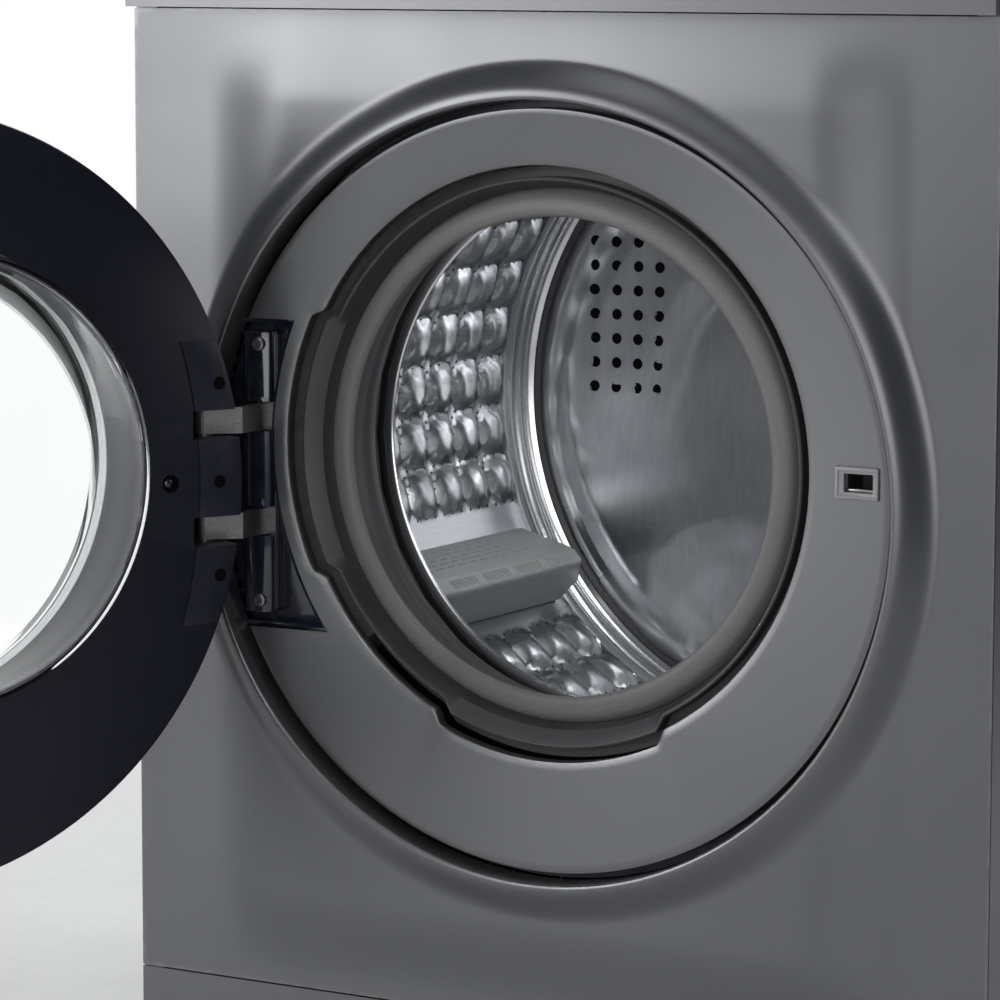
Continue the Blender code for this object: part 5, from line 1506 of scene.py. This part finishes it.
# ---- The door ----
@dataclass
class Door:
    """The door: inner frame, hinge cover, glass bowl and outer trim, modelled shut and then opened."""

    finishes: Finishes
    radius: float = 238.0
    face: float = 11.2
    frame_back: float = -3.6
    bowl: float = 143.5
    bowl_depth: float = 98.0
    arm_heights: Point = (35.7, -31.2)
    peg: Point = (-187.0, 0.6)
    cover_arc: float = 207.5
    cover_half: float = 89.0
    cover_screw_across: float = -221.0
    cover_screws: tuple[float, float, float] = (61.7, 0.0, -59.0)

    def place(self, obj: Object, finish: Material, slot: str, replaces: Sequence[str] = (),
              degrees: float = 32.0) -> Object:
        """Opens a piece that was modelled on the shut door and seats it."""
        obj.data.transform(DATUM.opened())
        return seat(obj, "door", finish, slot, replaces, degrees)

    def arm_gaps(self) -> list[Object]:
        """Blocks that clear the hinge arms' slots."""
        gaps = []
        for index, up in enumerate(self.arm_heights):
            gaps.append(block(f"arm_gap_{index}", DATUM.at(-250.0, -25.5, up - 9.2),
                              DATUM.at(-202.8, 20.0, up + 9.2)))
        return gaps

    def frame(self) -> None:
        """The navy inner frame with its bowl hole, arm slots and hook slot."""
        peg_place = DATUM.at(self.peg[0], 0.0, self.peg[1])
        profile = [(0.0, self.frame_back), (self.radius - 0.4, self.frame_back), (self.radius, -3.0),
                   (self.radius, self.face - 1.8), (self.radius - 0.6, self.face - 0.6),
                   (self.radius - 1.8, self.face), (0.0, self.face)]
        frame_disc = turned("door_inner_frame", profile, DATUM.door_axis(), 180, closed=False)
        opening = [(0.0, -20.0), (self.bowl + 1.4, -20.0), (self.bowl + 1.4, self.face - 1.6),
                   (self.bowl + 3.4, self.face + 0.4), (self.bowl + 3.4, 30.0), (0.0, 30.0)]
        hole = turned("bowl_hole", opening, DATUM.drum_axis(), 160, closed=False)
        hook = block("hook_gap", DATUM.at(207.5, -20.0, 16.0), DATUM.at(222.5, 30.0, 25.0), 0.5, 2)
        gap = [(0.0, 5.0), (5.6, 5.0), (6.2, 20.0), (0.0, 20.0)]
        peg = turned("peg_gap", gap, peg_place, 32, closed=False)
        cut(frame_disc, hole, hook, peg, *self.arm_gaps())
        self.place(frame_disc, self.finishes.navy, "navy", ["door_frame"], 30.0)
        bead = turned("door_peg", [(0.0, 4.6), (4.4, 4.6), (4.2, 7.2), (3.0, 8.9), (1.4, 9.6), (0.0, 9.8)],
                      peg_place, 24, closed=False)
        self.place(bead, self.finishes.gloss_navy, "navy")

    def cover(self) -> None:
        """The hinge cover: a thin plate between the rim and an arc, with three screw wells, each lined with a
        near-black cup of painted shade.
        """
        arc, rim = self.cover_arc, self.radius - 1.9
        heights = [self.cover_half - 2 * self.cover_half * step / 16 for step in range(17)]
        inside = [DATUM.at(-math.sqrt(arc ** 2 - (up * 0.82) ** 2), self.face, up) for up in heights]
        outside = [DATUM.at(-math.sqrt(rim ** 2 - up ** 2), self.face, up) for up in reversed(heights)]
        cover = plate("hinge_cover", inside + outside, Vector((0, 0.75 * MM, 0)))
        rounded(cover, 0.3, 2, 30.0)
        wells = [turned("well", [(0.0, -2.0), (3.9, -2.0), (4.5, 4.0), (0.0, 4.0)],
                        DATUM.at(self.cover_screw_across, self.face, up), 24, closed=False)
                 for up in self.cover_screws]
        cut(cover, *wells, *self.arm_gaps())
        self.place(cover, self.finishes.navy, "navy", degrees=30.0)
        # Painted shade: each well is lined with a near-black cup that stands for the shade in it.
        for index, up in enumerate(self.cover_screws):
            cup = [(4.5, self.face + 0.72), (4.0, self.face + 0.4), (3.8, self.face - 0.1),
                   (0.0, self.face - 0.1), (0.0, self.face + 0.05), (3.0, self.face + 0.1),
                   (3.4, self.face + 0.6)]
            centre = DATUM.at(self.cover_screw_across, 0.0, up)
            well = turned(f"cover_screw_well_{index + 1}", cup, centre, 24)
            self.place(well, self.finishes.void, "black_plastic")

    def glass(self) -> None:
        """The clear bowl and the ridged rim that holds it, the rim's pale colour painted light that brightens
        the window.
        """
        depth = self.bowl_depth
        outer = [(self.bowl + 9.0, -4.0), (self.bowl + 0.6, -4.0), (self.bowl, -1.0), (self.bowl - 0.2, 12.0),
                 (self.bowl - 1.6, 29.0), (self.bowl - 3.6, 45.0), (self.bowl - 5.4, 62.0),
                 (self.bowl - 7.6, 79.0), (self.bowl - 10.6, 86.0), (self.bowl - 15.8, 90.6),
                 (self.bowl - 24.0, 93.6), (self.bowl - 40.0, 95.6), (self.bowl - 80.0, depth - 0.8),
                 (0.0, depth - 0.4)]
        inner = [(0.0, depth - 4.4), (self.bowl - 80.0, depth - 4.8), (self.bowl - 40.0, 91.8),
                 (self.bowl - 25.6, 90.0), (self.bowl - 18.4, 87.4), (self.bowl - 14.2, 83.4),
                 (self.bowl - 11.4, 77.6), (self.bowl - 9.2, 61.6), (self.bowl - 7.4, 45.0),
                 (self.bowl - 5.4, 29.0), (self.bowl - 4.0, 12.0), (self.bowl - 3.8, -3.0),
                 (self.bowl - 3.0, -7.4), (self.bowl + 9.0, -7.8)]
        bowl = turned("glass_bowl", outer + inner, DATUM.drum_axis(), 168)
        self.place(bowl, self.finishes.glass, "clear_glass", ["door_glass"], 60.0)
        rim = [(self.bowl + 1.2, self.face - 2.0)]
        for ridge in range(3):
            start = self.bowl + 0.2 - 0.1 * ridge
            base = self.face - 1.4 - 3.4 * ridge
            rim += [(start, base), (start - 0.5, base - 0.5), (start - 0.5, base - 1.4), (start, base - 1.9)]
        rim += [(self.bowl + 1.2, self.face - 12.0)]
        ring = turned("bowl_rim", [(r + 0.4, y) for r, y in rim], DATUM.drum_axis(), 168)
        # Painted light: the rim is pale to brighten it.
        self.place(ring, self.finishes.pale, "pale_plastic", degrees=25.0)

    def trim(self) -> None:
        """The graphite outer ring with its finger pocket and the clearance for the hinge."""
        r = self.radius
        outer = [(r, -3.9), (r, -11.0), (r - 0.8, -15.0), (r - 3.0, -20.5), (r - 6.6, -26.2),
                 (r - 11.6, -31.6), (r - 17.0, -36.0), (r - 23.0, -39.0), (r - 29.0, -39.9),
                 (r - 60.0, -38.8), (r - 67.0, -37.6), (r - 71.0, -34.0), (r - 83.2, -18.0)]
        inner = [(r - 85.6, -18.4), (r - 73.2, -35.2), (r - 68.6, -35.4), (r - 60.0, -36.3),
                 (r - 29.0, -37.4), (r - 24.0, -36.6), (r - 18.6, -33.8), (r - 13.4, -29.6),
                 (r - 8.8, -24.6), (r - 5.4, -19.4), (r - 3.3, -14.4), (r - 2.5, -10.8), (r - 2.5, -3.9)]
        ring = turned("door_outer_trim", outer + inner, DATUM.door_axis(), 180)
        pocket = block("finger_pocket", DATUM.at(r - 12.0, -30.0, -45.0),
                       DATUM.at(r + 10.0, -12.0, 45.0), 4.0, 3)
        low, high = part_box("hinge_pin")
        near = Vector((DATUM.centre_x - (r + 10) * MM, DATUM.crest_y - 0.0255, low.z - 0.0015))
        far = Vector((DATUM.hinge.x + 0.0237, DATUM.crest_y + 0.02, high.z + 0.0015))
        clear = block("hinge_clearance", near, far, 0.0)
        cut(ring, pocket, clear)
        self.place(ring, self.finishes.graphite, "graphite", ["door_trim"], 35.0)
        # Painted light: the lining is pale to brighten the window's edge.
        lining = [(r - 96.0, -5.2), (r - 84.6, -17.4), (r - 83.6, -16.6), (r - 94.4, -4.2)]
        skirt = turned("window_lining", lining, DATUM.door_axis(), 160)
        self.place(skirt, self.finishes.pale, "pale_plastic")

    def build(self) -> None:
        """Builds the whole door."""
        self.frame()
        self.cover()
        self.glass()
        self.trim()


# ---- Springs between cabinet and tub ----
@dataclass
class Springs:
    """The two coil springs that the tub hangs on."""

    finishes: Finishes
    wire: float = 1.5
    turns: int = 20
    steps: int = 14
    tail: float = 18.0

    def spring(self, node: str) -> None:
        """Models one coil spring in place of its CAD node.

        Args:
            node: The CAD node's name.
        """
        low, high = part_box(node)
        middle = (low + high) / 2
        radius = (high.x - low.x) / 2 - self.wire * MM
        bottom, top = low.z + self.wire * MM, high.z - self.wire * MM
        start, end = bottom + self.tail * MM, top - self.tail * MM
        route = [Vector((middle.x, middle.y, bottom))]
        count = self.turns * self.steps
        for step in range(count + 1):
            turn = FULL_TURN * step / self.steps
            grown = radius * min(1.0, (step + 1) / self.steps, (count - step + 1) / self.steps)
            route.append(Vector((middle.x + grown * math.cos(turn), middle.y + grown * math.sin(turn),
                                 start + (end - start) * step / count)))
        route.append(Vector((middle.x, middle.y, top)))
        coil = traced(f"{node}_coil", route, False)
        take(coil)
        bpy.ops.object.convert(target="CURVE")
        coil.data.bevel_depth = self.wire * MM
        coil.data.bevel_resolution = 3
        coil.data.use_fill_caps = True
        bpy.ops.object.convert(target="MESH")
        bpy.ops.object.shade_smooth_by_angle(angle=math.radians(50))
        coil.data.materials.clear()
        coil.data.materials.append(self.finishes.brushed)
        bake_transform(coil)
        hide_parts(node)
        LOG.info("%s: %d faces between cabinet and tub", coil.name, len(coil.data.polygons))

    def build(self) -> None:
        """Builds both springs."""
        for side in ("left", "right"):
            self.spring(f"suspension_spring_{side}")


# ---- Cabinet details and the CAD nodes that stay ----
@dataclass
class Cabinet:
    """Finishes of the CAD nodes that stay, and small details on the cabinet."""

    finishes: Finishes
    plain: Finishes
    ticks: int = 16

    def dress(self) -> None:
        """Gives each CAD node that is still shown its detailed finish."""
        kinds = {
            "graphite": ("side_panel", "top_panel", "control_panel", "kick_panel", "service_flap",
                         "drawer_front", "programme_knob"),
            "black": ("tub", "door_lock", "filter_cap", "drive_belt", "foot", "motor_pulley"),
            "grey": ("pump", "dispenser", "inlet_valve", "detergent_drawer"),
            "brushed": ("hinge_arms", "hinge_pin", "latch_hook", "heater", "damper_rod", "bearing",
                        "start_button", "power_button"),
            "zinc": ("base_pan", "rear_panel", "rear_cover", "damper_cylinder", "motor"),
            "cast": ("drum_spider", "drum_pulley"),
            "concrete": ("counterweight",),
            "board": ("control_board",),
            "display": ("display_window",),
        }
        for name, node in frame["nodes"].items():
            if node.hide_render:
                continue
            chosen = [finish for finish, starts in kinds.items() if name.startswith(starts)]
            finish = getattr(self.plain, chosen[0] if chosen else "black")
            node.data.materials.clear()
            node.data.materials.append(finish)
            LOG.info("%s: dressed in %s", name, finish.name)

    def knob_marks(self) -> None:
        """A ring of plain ticks round the programme knob and a pointer on it."""
        low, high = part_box("programme_knob")
        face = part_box("control_panel")[0].y
        middle = Vector(((low.x + high.x) / 2, face, (low.z + high.z) / 2))
        reach = (high.x - low.x) / 2 + 0.006
        first = block("tick", middle + Vector((-0.0005, -0.0003, reach)),
                      middle + Vector((0.0005, 0.0002, reach + 0.004)), 0.1, 1)
        ticks = [copied(first, f"tick_{index}", about(middle, 360 / self.ticks * index))
                 for index in range(self.ticks)]
        bpy.data.objects.remove(first)
        seat(joined("knob_ticks", ticks), "cabinet", self.finishes.mark, "pale_plastic")
        pointer = block("knob_pointer", Vector((middle.x - 0.0008, low.y - 0.0002, middle.z + 0.012)),
                        Vector((middle.x + 0.0008, low.y + 0.0006, middle.z + 0.023)), 0.15, 1)
        seat(pointer, "knob", self.finishes.mark, "pale_plastic")

    def display_marks(self) -> None:
        """Plain bars and dots on the display, with no lettering."""
        low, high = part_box("display_window")
        marks = []
        for index in range(4):
            start = low.x + 0.016 + 0.016 * index
            marks.append(block("bar", Vector((start, low.y - 0.0002, low.z + 0.020)),
                               Vector((start + 0.009, low.y + 0.0003, low.z + 0.022)), 0.1, 1))
        for index in range(6):
            spot = Vector((low.x + 0.016 + 0.021 * index, low.y + 0.0003, low.z + 0.009))
            dome = [(0.0, 0.0), (1.3, 0.0), (1.2, -0.4), (0.0, -0.5)]
            marks.append(turned("lamp", dome, spot, 16, closed=False))
        seat(joined("display_marks", marks), "cabinet", self.finishes.mark, "pale_plastic")

    def rear_screws(self) -> None:
        """Screws round the rear cover."""
        low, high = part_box("rear_cover")
        middle = (low + high) / 2
        reach = (high.x - low.x) / 2 - 0.008
        heads = []
        for index in range(8):
            turn = math.radians(22.5 + 45 * index)
            spot = Vector((middle.x + reach * math.cos(turn), low.y + 0.0018,
                           middle.z + reach * math.sin(turn)))
            heads.append(screw(f"cover_screw_{index}", spot, 4.0, 1.0))
        seat(joined("rear_cover_screws", heads), "cabinet", self.finishes.zinc, "zinc")

    def build(self) -> None:
        """Builds the details and dresses the rest."""
        self.knob_marks()
        self.display_marks()
        self.rear_screws()
        self.dress()


def main() -> None:
    """Builds the studio and every sub-assembly."""
    logging.basicConfig(level=logging.INFO, format="%(name)s %(message)s")
    Studio().build()
    finishes = Finishes.mixed()
    surround = Surround(finishes)
    FrontSheet(finishes).build()
    surround.build()
    surround.well()
    Seal(finishes, surround).build()
    Drum(finishes).build()
    Hinge(finishes, surround).build()
    Latch(finishes).build()
    Door(finishes).build()
    Springs(finishes).build()
    Cabinet(finishes, Finishes.mixed(worn=False)).build()


if __name__ == "__main__":
    main()
